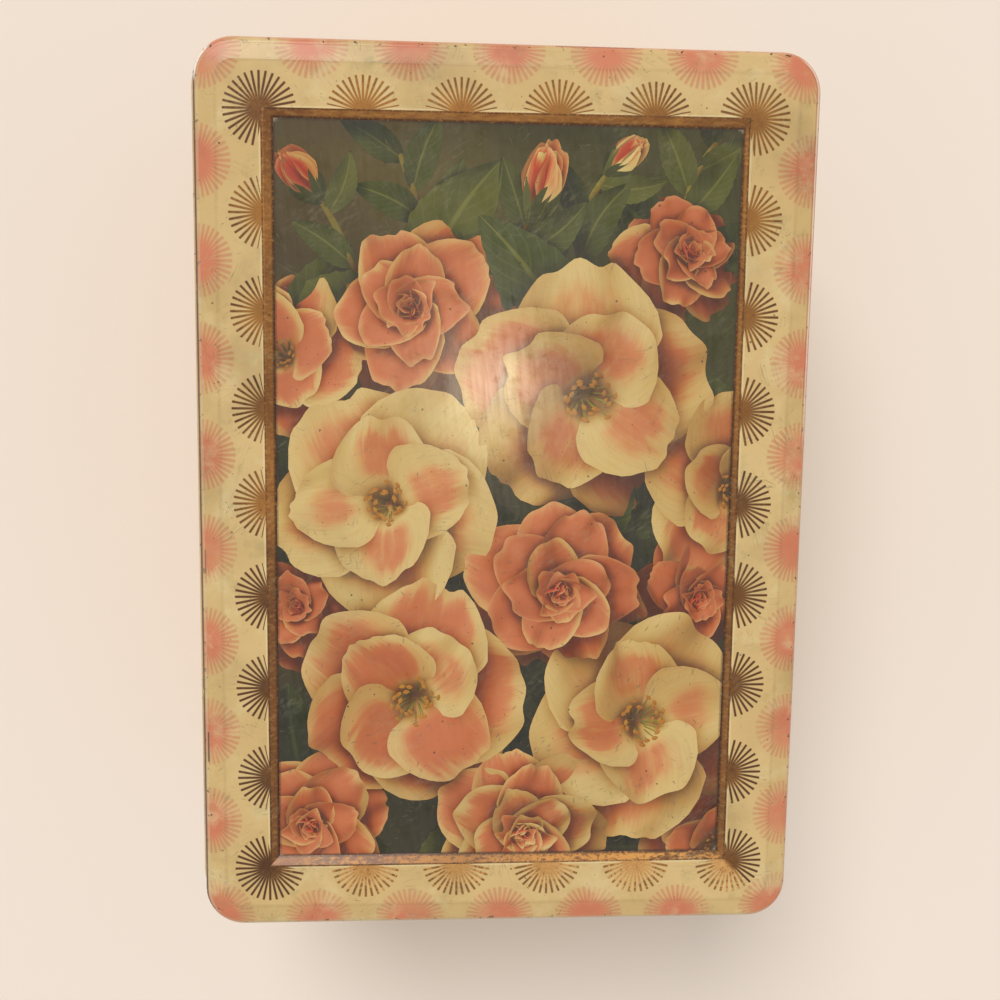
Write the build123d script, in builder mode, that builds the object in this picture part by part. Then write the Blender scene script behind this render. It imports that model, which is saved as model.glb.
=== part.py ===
"""A printed sheet-metal box for recipe cards, lying on its base with its hinged lid shut.

Millimetres. +X runs across the box, -Y is the edge that opens, +Y is the hinge edge and +Z is up.
The origin is the middle of the footprint, on the surface that the box stands on.
"""

import os

from build123d import *

os.makedirs("parts", exist_ok=True)

# The lid, a pressed pan whose skirt reaches down over the body.
lid_width = 165.0           # across the skirt
lid_length = 241.0          # across the skirt, front to back
lid_corner_radius = 10.7    # outside of the skirt, seen from above
lid_depth = 16.0            # from the border down to the bottom of the hem
lid_edge_radius = 2.0       # rounding between skirt and top
shoulder_width = 6.0        # from the skirt in to the crease where the flat border starts
shoulder_drop = 0.7         # how far the top falls from that crease to the rounded edge
picture_width = 123.7       # sunken flat panel that holds the picture
picture_length = 200.4
picture_depth = 1.4         # below the border
bevel_width = 2.4           # sloping band round the panel, seen from above
lid_sheet = 0.3

# The hem at the foot of the skirt, rolled outwards round the hinge wire.
wire_radius = 1.0
wire_end_gap = 2.0          # from the end of the hinge wire to the start of the hem's corner
wire_play = 0.05            # radial, between the wire and what is rolled round it

# The body: one wrapped wall with an inward curl at its rim and a lock seam at the back.
box_height = 112.0          # to the border of the lid
body_sheet = 0.3
skirt_gap = 0.7             # between the body's wall and the lid's skirt
rest_gap = 0.3              # between the rim and the lid's underside
rim_radius = 1.0            # outside of the rim's curl
seam_width = 5.0
seam_thickness = 0.6

# The base: a sunken panel whose edge is folded up round the foot of the wall.
base_sheet = 0.3
base_rise = 3.0             # from the surface that the box stands on to the top of the panel
base_fold_height = 3.2
base_fold_thickness = 0.8
base_fold_radius = 0.35
base_gap = 0.05             # between the wall and the fold that holds it

# Two straps on the back wall, folded round the hinge wire.
strap_inset = 37.5          # from the lid's side to the middle of the nearer strap
strap_width = 18.0
strap_sheet = 0.3
strap_leaf_thickness = 0.5
strap_leaf_length = 15.0    # below the wire's axis
strap_side_gap = 0.5        # to the ends of the hem, on each side
strap_top_gap = 0.6         # to the skirt above the loop

# Two rivets through each strap and the wall.
rivet_spacing = 10.0
rivet_drop = 10.0           # below the wire's axis
rivet_radius = 1.1
rivet_play = 0.05
rivet_head_radius = 1.9
rivet_head_height = 0.7
rivet_head_rounding = 0.8   # share of the head's height that is rounded
rivet_tail_radius = 1.6
rivet_tail_height = 0.4

# What follows from the sizes above.
hem_inside_radius = wire_radius + wire_play
hem_radius = hem_inside_radius + lid_sheet
hem_offset = hem_radius - lid_sheet                     # from the skirt's outside to the hem's centre line
hem_height = box_height - lid_depth + hem_radius
hinge_y = lid_length / 2 + hem_offset
body_width = lid_width - 2 * (lid_sheet + skirt_gap)
body_length = lid_length - 2 * (lid_sheet + skirt_gap)
body_corner_radius = lid_corner_radius - lid_sheet - skirt_gap
rim_height = box_height - shoulder_drop - lid_sheet - rest_gap
wall_foot = base_sheet + base_gap
loop_radius = hem_inside_radius + strap_sheet
strap_centres = [side * (lid_width / 2 - strap_inset) for side in (-1, 1)]
rivet_places = [side * rivet_spacing / 2 for side in (-1, 1)]
rivet_centres = [x + place for x in strap_centres for place in rivet_places]


def upright_plane(x, y, z):
    """A drawing plane across the box: its own x runs outwards along +X and its own y runs up."""
    return Plane(origin=(x, y, z), x_dir=(1, 0, 0), z_dir=(0, -1, 0))


def side_plane(x, z=0.0):
    """A drawing plane facing +X: its own x runs along +Y and its own y runs up."""
    return Plane(origin=(x, 0, z), x_dir=(0, 1, 0), z_dir=(1, 0, 0))


def rounded_block(width, length, radius, bottom, top):
    """An upright block with rounded corners, centred on the origin."""
    with BuildPart() as block:
        with BuildSketch(Plane.XY.offset(bottom)):
            RectangleRounded(width, length, radius)
        extrude(amount=top - bottom)
    return block.part


def rolled_edge(width, length, corner_radius, height, outer, inner, start):
    """A sheet edge rolled through three quarters of a turn, carried round a rounded rectangle.

    The rectangle is the roll's centre line. The roll starts at the angle start, counted from
    straight outwards, and turns anticlockwise as it is seen on the right-hand side of the box.
    """
    with BuildPart() as roll:
        with BuildSketch(Plane.XY.offset(height), mode=Mode.PRIVATE) as loop:
            RectangleRounded(width, length, corner_radius)
        with BuildSketch(upright_plane(width / 2, 0, height)):
            Circle(outer)
            Circle(inner, mode=Mode.SUBTRACT)
            with Locations(Location((0, 0), start - 90)):
                Rectangle(2 * outer, 2 * outer, align=(Align.MIN, Align.MIN), mode=Mode.SUBTRACT)
        sweep(path=loop.wires()[0])
    return roll.part


def lid_form(inset):
    """Everything under the lid's outer face, or under its inner face when inset is one sheet."""
    top = box_height - inset
    with BuildPart() as form:
        with BuildSketch(Plane.XY.offset(hem_height)):
            RectangleRounded(lid_width - 2 * inset, lid_length - 2 * inset, lid_corner_radius - inset)
        extrude(amount=top - shoulder_drop - hem_height)
        fillet(form.faces().sort_by(Axis.Z)[-1].edges(), lid_edge_radius - inset)
        for drop, step_in in ((shoulder_drop, lid_edge_radius), (0, shoulder_width)):
            with BuildSketch(Plane.XY.offset(top - drop)):
                RectangleRounded(
                    lid_width - 2 * step_in, lid_length - 2 * step_in, lid_corner_radius - step_in
                )
        loft()
        for drop, bevel in ((0, bevel_width), (picture_depth, 0)):
            with BuildSketch(Plane.XY.offset(top - drop)):
                Rectangle(picture_width + 2 * bevel, picture_length + 2 * bevel)
        loft(mode=Mode.SUBTRACT)
    return form.part


# The lid: pressed pan, rolled hem, and a gap in the hem for each strap.
lid_outside = lid_form(0)
lid_inside = lid_form(lid_sheet)
lid_hem = rolled_edge(
    lid_width + 2 * hem_offset,
    lid_length + 2 * hem_offset,
    lid_corner_radius + hem_offset,
    hem_height,
    hem_radius,
    hem_inside_radius,
    start=180,
)
with BuildPart() as lid_shell:
    add(lid_outside)
    add(lid_inside, mode=Mode.SUBTRACT)
    add(lid_hem)
    with BuildSketch(Plane.XY.offset(hem_height - hem_radius)):
        for x in strap_centres:
            with Locations((x, hinge_y)):
                Rectangle(strap_width + 2 * strap_side_gap, 2 * hem_radius + 2 * lid_sheet)
    extrude(amount=hem_radius + loop_radius + strap_top_gap, mode=Mode.SUBTRACT)
lid_shell.part.label = "lid_shell"
export_step(lid_shell.part, "parts/lid_shell.step")


# The body's wall: wrapped sheet, curled in at the rim, with its lock seam inside the back.
wall_outside = rounded_block(body_width, body_length, body_corner_radius, wall_foot, rim_height - rim_radius)
wall_inside = rounded_block(
    body_width - 2 * body_sheet,
    body_length - 2 * body_sheet,
    body_corner_radius - body_sheet,
    wall_foot,
    rim_height - rim_radius,
)
rim_curl = rolled_edge(
    body_width - 2 * rim_radius,
    body_length - 2 * rim_radius,
    body_corner_radius - rim_radius,
    rim_height - rim_radius,
    rim_radius,
    rim_radius - body_sheet,
    start=0,
)
wall_back = body_length / 2
with BuildPart() as body_wall:
    add(wall_outside)
    add(wall_inside, mode=Mode.SUBTRACT)
    add(rim_curl)
    seam_foot = base_rise + base_gap
    with BuildSketch(Plane.XY.offset(seam_foot)):
        with Locations((0, wall_back)):
            Rectangle(seam_width, body_sheet + seam_thickness, align=(Align.CENTER, Align.MAX))
    extrude(amount=rim_height - 2 * rim_radius - rest_gap - seam_foot)
    with BuildSketch(Plane.XZ.offset(-wall_back)):
        for x in rivet_centres:
            with Locations((x, hem_height - rivet_drop)):
                Circle(rivet_radius + rivet_play)
    extrude(amount=body_sheet, mode=Mode.SUBTRACT)
body_wall.part.label = "body_wall"
export_step(body_wall.part, "parts/body_wall.step")


# The base: sunken panel, and an edge folded down, out and up round the foot of the wall.
fold_inset = body_sheet + base_gap
fold_wall_inset = fold_inset + base_sheet
with BuildPart() as base_panel:
    with BuildSketch():
        RectangleRounded(
            body_width + 2 * (base_gap + base_fold_thickness),
            body_length + 2 * (base_gap + base_fold_thickness),
            body_corner_radius + base_gap + base_fold_thickness,
        )
    extrude(amount=base_fold_height)
    fold_edges = base_panel.faces().filter_by(Axis.Z).edges()
    fillet(fold_edges, base_fold_radius)
    with BuildSketch(Plane.XY.offset(base_sheet)):
        RectangleRounded(
            body_width + 2 * base_gap, body_length + 2 * base_gap, body_corner_radius + base_gap
        )
    extrude(amount=base_fold_height - base_sheet, mode=Mode.SUBTRACT)
    with BuildSketch():
        RectangleRounded(
            body_width - 2 * fold_inset, body_length - 2 * fold_inset, body_corner_radius - fold_inset
        )
    extrude(amount=base_rise)
    with BuildSketch():
        RectangleRounded(
            body_width - 2 * fold_wall_inset,
            body_length - 2 * fold_wall_inset,
            body_corner_radius - fold_wall_inset,
        )
    extrude(amount=base_rise - base_sheet, mode=Mode.SUBTRACT)
base_panel.part.label = "base_panel"
export_step(base_panel.part, "parts/base_panel.step")


# The hinge wire, inside the straight part of the hem at the back.
wire_length = lid_width - 2 * (lid_corner_radius + wire_end_gap)
with BuildPart() as hinge_wire:
    with BuildSketch(side_plane(-wire_length / 2, hem_height)):
        with Locations((hinge_y, 0)):
            Circle(wire_radius)
    extrude(amount=wire_length)
hinge_wire.part.label = "hinge_wire"
export_step(hinge_wire.part, "parts/hinge_wire.step")


def hinge_strap(x):
    """A doubled strap flat on the back wall, with a loop round the hinge wire, centred at x."""
    leaf_back = wall_back + strap_leaf_thickness
    with BuildPart() as strap:
        with BuildSketch(side_plane(x - strap_width / 2)):
            with BuildLine():
                Polyline(
                    (wall_back, hem_height + hem_inside_radius / 2),
                    (wall_back, hem_height - strap_leaf_length),
                    (leaf_back, hem_height - strap_leaf_length),
                    (leaf_back, hem_height - 2 * loop_radius),
                    (hinge_y, hem_height - loop_radius),
                    (hinge_y, hem_height + loop_radius),
                    close=True,
                )
            make_face()
            with Locations((hinge_y, hem_height)):
                Circle(loop_radius)
                Circle(hem_inside_radius, mode=Mode.SUBTRACT)
        extrude(amount=strap_width)
        with BuildSketch(Plane.XZ.offset(-leaf_back)):
            for place in rivet_places:
                with Locations((x + place, hem_height - rivet_drop)):
                    Circle(rivet_radius + rivet_play)
        extrude(amount=strap_leaf_thickness, mode=Mode.SUBTRACT)
    return strap.part


for name, x in zip(("left", "right"), strap_centres):
    strap = hinge_strap(x)
    strap.label = f"hinge_strap_{name}"
    export_step(strap, f"parts/hinge_strap_{name}.step")


# The rivets: a low round head on each strap, a shank through strap and wall, a flattened tail inside.
strap_face = wall_back + strap_leaf_thickness
tail_face = wall_back - body_sheet
with BuildPart() as hinge_rivets:
    for y, radius, height in (
        (tail_face - rivet_tail_height, rivet_tail_radius, rivet_tail_height),
        (tail_face, rivet_radius, strap_face - tail_face),
        (strap_face, rivet_head_radius, rivet_head_height),
    ):
        with BuildSketch(Plane.XZ.offset(-y)):
            for x in rivet_centres:
                with Locations((x, hem_height - rivet_drop)):
                    Circle(radius)
        extrude(amount=-height)
    head_edges = hinge_rivets.faces().sort_by(Axis.Y)[-len(rivet_centres):].edges()
    fillet(head_edges, rivet_head_height * rivet_head_rounding)
hinge_rivets.part.label = "hinge_rivets"
export_step(hinge_rivets.part, "parts/hinge_rivets.step")
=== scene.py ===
"""Looks of a printed sheet-metal box for recipe cards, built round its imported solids.

This script counts in millimetres, in the box's own frame: +X across, -Y the edge that opens, +Y the
hinge edge, +Z up, with the origin in the middle of the footprint. MM turns a length into metres where
a mesh, a lamp or the camera is placed, and materials read positions in millimetres through PER_MM.
"""

import math

import bmesh
import bpy
import numpy as np
from mathutils import Matrix, Vector


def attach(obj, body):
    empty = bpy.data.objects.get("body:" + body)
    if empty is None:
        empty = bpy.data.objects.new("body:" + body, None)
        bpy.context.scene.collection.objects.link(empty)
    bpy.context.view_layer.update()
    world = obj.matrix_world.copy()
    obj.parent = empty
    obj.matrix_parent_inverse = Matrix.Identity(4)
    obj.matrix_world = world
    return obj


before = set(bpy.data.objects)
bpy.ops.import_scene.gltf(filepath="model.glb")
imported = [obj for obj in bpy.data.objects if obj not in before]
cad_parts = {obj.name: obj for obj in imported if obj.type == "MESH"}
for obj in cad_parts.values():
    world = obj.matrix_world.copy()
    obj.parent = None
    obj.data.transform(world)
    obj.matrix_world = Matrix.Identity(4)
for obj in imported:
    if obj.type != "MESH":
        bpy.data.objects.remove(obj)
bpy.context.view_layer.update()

MM = 0.001
PER_MM = 1000.0

# The lid, as its solid has it.
LID_WIDTH = 165.0
LID_LENGTH = 241.0
LID_CORNER = 10.7
LID_TOP = 112.0
SHOULDER_WIDTH = 6.0
SHOULDER_DROP = 0.7
HEM_DROP = 13.3             # from the border down to the top of the hem
PICTURE_WIDTH = 123.7
PICTURE_LENGTH = 200.4
PICTURE_DEPTH = 1.4

# The print: gold bursts stand on the outer line of a gold band, pink ones between them over the edge.
BAND_WIDTH = 128.5
BAND_LENGTH = 205.6
PITCH = 25.5                # from burst to burst along a side
GOLD_COLUMNS = 5            # pitches across the gold band's outside
GOLD_ROWS = 8               # pitches along it
GOLD_SUNK = 0.5             # centre of a gold burst inside the band's outer line
GOLD_CORNER = (64.9, 102.8)     # the four in the corners stand a little further out
GOLD_SLIP = (0.4, -0.3)     # the bursts' colour was printed this far from the band's
BURST_RADIUS = 9.5
GOLD_RAYS = 32
PINK_RAYS = 36
GOLD_RAY_WIDTH = 0.66
PINK_RAY_WIDTH = 0.84
PRINT_SHIFT = 0.4           # the printed sheet lies this far off centre under the press that formed it
PRINT_TURN = 0.0036         # and turned by this angle, in radians
PINK_INSET = 1.05           # centre of a pink burst from the outline, measured along the sheet
PINK_CORNER_INSET = 4.4     # the same for the four in the corners, from both sides

# The body, as its solid has it.
BODY_WIDTH = 163.0
BODY_LENGTH = 239.0
BODY_CORNER = 9.7


def srgb(red, green, blue):
    """A colour of three numbers up to 255 as the linear colour that a shader takes."""
    share = np.array([red, green, blue]) / 255
    linear = np.where(share <= 0.04045, share / 12.92, ((share + 0.055) / 1.055) ** 2.4)
    return (*linear.tolist(), 1.0)


# Inks and metals.
CREAM = srgb(211, 181, 124)
CREAM_OUTER = srgb(198, 166, 108)
CREAM_PALE = srgb(220, 200, 150)
CREAM_STAIN = srgb(150, 138, 88)
PINK = srgb(202, 117, 85)
PINK_TIP = srgb(194, 134, 94)
PINK_HALO = srgb(206, 152, 104)
GOLD_DARK = srgb(86, 52, 26)
GOLD = srgb(160, 110, 50)
GOLD_BRIGHT = srgb(212, 162, 98)
COPPER = srgb(150, 94, 48)
TIN = srgb(168, 162, 150)
LACQUER = srgb(186, 150, 88)
LACQUER_WORN = srgb(160, 124, 68)
LACQUER_DULL = srgb(150, 116, 66)
STEEL = srgb(150, 146, 138)
STEEL_DULL = srgb(112, 104, 92)
RUST = srgb(84, 46, 26)
GRIME_AND_SHADE = srgb(104, 92, 60)


# ---------------------------------------------------------------- node graphs


class Value:
    """A number, vector or colour that varies over a surface. Arithmetic on it adds Math nodes."""

    def __init__(self, graph, socket):
        self.graph = graph
        self.socket = socket

    def __add__(self, other):
        return self.graph.math("ADD", self, other)

    def __radd__(self, other):
        return self.graph.math("ADD", other, self)

    def __sub__(self, other):
        return self.graph.math("SUBTRACT", self, other)

    def __rsub__(self, other):
        return self.graph.math("SUBTRACT", other, self)

    def __mul__(self, other):
        return self.graph.math("MULTIPLY", self, other)

    def __rmul__(self, other):
        return self.graph.math("MULTIPLY", other, self)

    def __truediv__(self, other):
        return self.graph.math("DIVIDE", self, other)

    def __neg__(self):
        return self.graph.math("MULTIPLY", self, -1.0)

    def __abs__(self):
        return self.graph.math("ABSOLUTE", self)


# Sockets of a Mix node that mixes colours, which share their names with those of its other kinds.
MIX_SHARE = 0
MIX_FIRST = 6
MIX_SECOND = 7
MIX_RESULT = 2


class Graph:
    """Adds nodes to one node tree. Inputs may be plain numbers, tuples or Values."""

    def __init__(self, tree):
        self.tree = tree

    def feed(self, socket, value):
        """Links a socket to a Value, or sets it to a constant. None leaves it as it is."""
        if isinstance(value, Value):
            self.tree.links.new(value.socket, socket)
        elif value is not None:
            socket.default_value = value

    def feed_all(self, node, **inputs):
        """Feeds a node's sockets, each under its name with _ for spaces."""
        for name, value in inputs.items():
            self.feed(node.inputs[name.replace("_", " ")], value)

    def node(self, kind, inputs=None, **settings):
        """A new node with its inputs fed by name and its own settings made."""
        node = self.tree.nodes.new(kind)
        for name, value in settings.items():
            setattr(node, name, value)
        for name, value in (inputs or {}).items():
            self.feed(node.inputs[name], value)
        return node

    def value(self, node, output=0):
        """What a node puts out, by the output's place or name."""
        return Value(self, node.outputs[output])

    def math(self, operation, *values):
        """The result of a Math node's operation on one or two values."""
        node = self.node("ShaderNodeMath", operation=operation)
        for socket, value in zip(node.inputs, values):
            self.feed(socket, value)
        return self.value(node)

    def either(self, *masks):
        """The largest of several masks."""
        result = masks[0]
        for mask in masks[1:]:
            result = self.math("MAXIMUM", result, mask)
        return result

    def step(self, value, low, high):
        """0 where value is under low, 1 where it is over high, and smooth between them."""
        inputs = {"Value": value, "From Min": low, "From Max": high}
        return self.value(self.node("ShaderNodeMapRange", inputs, interpolation_type="SMOOTHSTEP"))

    def fade(self, value, low, high):
        """1 where value is under low, 0 where it is over high, and smooth between them."""
        return 1.0 - self.step(value, low, high)

    def near(self, value, middle, inner, outer):
        """1 where value is less than inner away from middle, 0 where it is more than outer away."""
        return self.fade(abs(value - middle), inner, outer)

    def ramp(self, value, *stops):
        """A colour that runs through stops of (value, colour)."""
        node = self.node("ShaderNodeValToRGB", {"Fac": value})
        elements = node.color_ramp.elements
        while len(elements) < len(stops):
            elements.new(1.0)
        for element, (place, color) in zip(elements, stops):
            element.position = place
            element.color = color
        return self.value(node)

    def mix(self, share, first, second, blend="MIX"):
        """Colour first, giving way to colour second as share goes from 0 to 1."""
        node = self.node("ShaderNodeMix", data_type="RGBA", blend_type=blend)
        for index, given in ((MIX_SHARE, share), (MIX_FIRST, first), (MIX_SECOND, second)):
            self.feed(node.inputs[index], given)
        return self.value(node, MIX_RESULT)

    def layers(self, color, *layers):
        """A colour under layers, each given as (cover from 0 to 1, colour) and laid on in turn."""
        for cover, over in layers:
            color = self.mix(cover, color, over)
        return color

    def darkened(self, share, color, by):
        """A colour multiplied by another as share goes from 0 to 1."""
        return self.mix(share, color, by, "MULTIPLY")

    def vector(self, x, y, z=0.0):
        """A vector from its three parts."""
        return self.value(self.node("ShaderNodeCombineXYZ", {"X": x, "Y": y, "Z": z}))

    def parts(self, vector):
        """The three parts of a vector."""
        node = self.node("ShaderNodeSeparateXYZ", {"Vector": vector})
        return [self.value(node, name) for name in ("X", "Y", "Z")]

    def scaled(self, vector, factors, offset=(0.0, 0.0, 0.0)):
        """A position stretched by factors, and then shifted, for a texture."""
        inputs = {"Vector": vector, "Scale": factors, "Location": offset}
        return self.value(self.node("ShaderNodeMapping", inputs))

    def shifted(self, vector, *offset):
        """A position shifted, so that a texture shows another part of itself."""
        return self.scaled(vector, (1.0, 1.0, 1.0), offset)

    def drawn_out(self, vector, lengths, angle, offset=(0.0, 0.0, 0.0)):
        """A position counted in the given lengths, along axes turned by angle about Z."""
        inputs = {"Vector": vector, "Scale": lengths, "Rotation": (0.0, 0.0, angle), "Location": offset}
        return self.value(self.node("ShaderNodeMapping", inputs, vector_type="TEXTURE"))

    def noise(self, vector, scale=1.0, detail=3.0, roughness=0.5, distortion=0.0):
        """Cloudy noise that stays mostly between 0.3 and 0.7."""
        node = self.node("ShaderNodeTexNoise", {"Vector": vector, "Scale": scale, "Detail": detail})
        self.feed_all(node, Roughness=roughness, Distortion=distortion)
        return self.value(node)

    def cells(self, vector, scale=1.0):
        """The distance to the nearest of points that are strewn one to a cell."""
        return self.value(self.node("ShaderNodeTexVoronoi", {"Vector": vector, "Scale": scale}), "Distance")

    def position(self):
        """The point on the piece, in millimetres."""
        coordinates = self.node("ShaderNodeTexCoord")
        return self.scaled(self.value(coordinates, "Object"), (PER_MM, PER_MM, PER_MM))

    def facing(self):
        """The surface's normal in the piece's own frame."""
        return self.value(self.node("ShaderNodeTexCoord"), "Normal")

    def use(self, group, **inputs):
        """Places a node group, and returns its outputs by name."""
        node = self.node("ShaderNodeGroup", node_tree=group)
        self.feed_all(node, **inputs)
        return {socket.name: Value(self, socket) for socket in node.outputs}


def node_group(name, inputs, outputs):
    """A new shader node group. Returns it, its graph, its inputs by name and its output node."""
    tree = bpy.data.node_groups.new(name, "ShaderNodeTree")
    for label, kind, default in inputs:
        socket = tree.interface.new_socket(label, in_out="INPUT", socket_type="NodeSocket" + kind)
        if default is not None:
            socket.default_value = default
    for label, kind in outputs:
        tree.interface.new_socket(label, in_out="OUTPUT", socket_type="NodeSocket" + kind)
    graph = Graph(tree)
    source = graph.node("NodeGroupInput")
    given = {socket.name: Value(graph, socket) for socket in source.outputs if socket.name}
    return tree, graph, given, graph.node("NodeGroupOutput")


def new_material(name):
    """An empty material, and its graph."""
    material = bpy.data.materials.new(name)
    material.use_nodes = True
    material.node_tree.nodes.clear()
    return material, Graph(material.node_tree)


def finish_material(graph, **inputs):
    """Gives a material its Principled shader, with the inputs named, and its output."""
    shader = graph.node("ShaderNodeBsdfPrincipled")
    graph.feed_all(shader, **inputs)
    graph.node("ShaderNodeOutputMaterial", {"Surface": graph.value(shader)})


def bump(graph, height):
    """A normal from a height in millimetres."""
    return graph.value(graph.node("ShaderNodeBump", {"Height": height, "Distance": MM}))


# ---------------------------------------------------------------- shared effects


def make_burst_group():
    """A sunburst: straight rays of one width at equal angles, which melt into a solid core."""
    inputs = (
        ("Across", "Float", 0.0),
        ("Up", "Float", 0.0),
        ("Radius", "Float", BURST_RADIUS),
        ("Rays", "Float", GOLD_RAYS),
        ("Ray Width", "Float", GOLD_RAY_WIDTH),
        ("Softness", "Float", 0.12),
    )
    outputs = [(name, "Float") for name in ("Mask", "Distance", "Ray")]
    tree, g, given, result = node_group("sunburst", inputs, outputs)
    across, up = given["Across"], given["Up"]
    distance = g.math("SQRT", across * across + up * up)
    ray_step = g.math("DIVIDE", 2 * math.pi, given["Rays"])
    turn = g.math("ARCTAN2", up, across) / ray_step
    ray_number = g.math("ROUND", turn)
    off_ray = (turn - ray_number) * ray_step
    sideways = distance * abs(g.math("SINE", off_ray))
    half = given["Ray Width"] * 0.5
    soft = given["Softness"]
    ray = g.fade(sideways, half - soft, half + soft)
    inside = g.fade(distance, given["Radius"] - soft, given["Radius"] + soft)
    g.feed_all(result, Mask=ray * inside, Distance=distance, Ray=ray_number)
    return tree


SCRATCH_SETS = ((0.08, 0.58), (1.9, 0.58), (2.7, 0.60), (1.2, 0.60), (0.6, 0.60))
NICK_SETS = ((0.3, 0.52), (1.5, 0.52), (2.3, 0.53), (0.9, 0.53))


def make_wear_group():
    """Age of a varnished print: hair scratches, dark specks, nicks, scuffs, cloudy grime and fine grain."""
    outputs = [(name, "Float") for name in ("Scratch", "Speck", "Nick", "Scuff", "Grime", "Grain")]
    tree, g, given, result = node_group("print wear", (("Position", "Vector", None),), outputs)
    position = given["Position"]

    # Scratches lie where stretched noise crosses its middle, and nicks in stretched cells. Each set
    # has its own direction in radians, and is only seen in patches above a level.
    scratches = []
    for index, (angle, level) in enumerate(SCRATCH_SETS):
        turned = g.drawn_out(position, (20.0, 1.1, 2.5), angle, (170.0 * index, 30.0, 0.0))
        line = g.fade(abs(g.noise(turned, 1.0, 1.0, 0.4, 0.3) - 0.5), 0.003, 0.008)
        patch = g.noise(g.scaled(position, (0.09, 0.09, 0.09), (5.0 * index, 0.0, 2.0)))
        scratches.append(line * g.step(patch, level, level + 0.06))
    nicks = []
    for index, (angle, level) in enumerate(NICK_SETS):
        turned = g.drawn_out(position, (6.0, 1.5, 2.0), angle, (40.0 * index, 90.0, 0.0))
        patch = g.noise(g.scaled(position, (0.07, 0.07, 0.07), (0.0, 6.0 * index, 5.0)), 1.0, 3.0, 0.7)
        nicks.append(g.fade(g.cells(turned), 0.08, 0.20) * g.step(patch, level, level + 0.08))

    dots = g.fade(g.cells(position, 0.22), 0.05, 0.085)
    dots = dots * g.step(g.noise(position, 0.05, 1.0), 0.45, 0.55)
    fine = g.fade(g.cells(g.shifted(position, 31.0, 17.0, 0.0), 0.55), 0.06, 0.11)
    fine = fine * g.step(g.noise(position, 0.09, 1.0), 0.48, 0.58)
    rubbed = g.noise(g.shifted(position, 11.0, 4.0, 0.0), 0.055, 3.0, 0.6)
    smeared = g.noise(g.drawn_out(position, (2.8, 1.1, 2.0), 0.7), 1.0, 4.0, 0.6)
    grime = g.noise(g.shifted(position, 3.0, 9.0, 0.0), 0.035, 4.0, 0.62)
    g.feed_all(
        result,
        Scratch=g.either(*scratches),
        Speck=g.either(dots, fine),
        Nick=g.either(*nicks),
        Scuff=g.step(rubbed, 0.45, 0.70) * g.step(smeared, 0.45, 0.70),
        Grime=g.step(grime, 0.45, 0.75),
        Grain=g.noise(position, 6.0, 2.0, 0.6),
    )
    return tree


def make_outline_group():
    """How far a point lies inside a rounded outline: negative outside it."""
    inputs = (
        ("Position", "Vector", None), ("Width", "Float", LID_WIDTH), ("Length", "Float", LID_LENGTH),
        ("Corner", "Float", LID_CORNER),
    )
    tree, g, given, result = node_group("inside outline", inputs, (("Inset", "Float"),))
    x, y, _ = g.parts(given["Position"])
    corner = given["Corner"]
    over_x = abs(x) - (given["Width"] * 0.5 - corner)
    over_y = abs(y) - (given["Length"] * 0.5 - corner)
    beyond_x = g.either(over_x, 0.0)
    beyond_y = g.either(over_y, 0.0)
    beyond = g.math("SQRT", beyond_x * beyond_x + beyond_y * beyond_y)
    g.feed_all(result, Inset=corner - beyond - g.math("MINIMUM", g.either(over_x, over_y), 0.0))
    return tree


def make_printed_side_group():
    """1 on the printed side of a pan or a wall, 0 on the side that faces the cards."""
    inputs = (
        ("Position", "Vector", None), ("Facing", "Vector", None), ("Width", "Float", LID_WIDTH),
        ("Length", "Float", LID_LENGTH), ("Corner", "Float", LID_CORNER),
    )
    tree, g, given, result = node_group("printed side", inputs, (("Mask", "Float"),))
    x, y, _ = g.parts(given["Position"])
    nx, ny, nz = g.parts(given["Facing"])
    on_side = g.math("GREATER_THAN", abs(x), given["Width"] * 0.5 - given["Corner"])
    on_end = g.math("GREATER_THAN", abs(y), given["Length"] * 0.5 - given["Corner"])
    outward = nx * g.math("SIGN", x) * on_side + ny * g.math("SIGN", y) * on_end
    g.feed_all(result, Mask=g.math("GREATER_THAN", outward + nz * 0.3, -0.05))
    return tree


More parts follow.
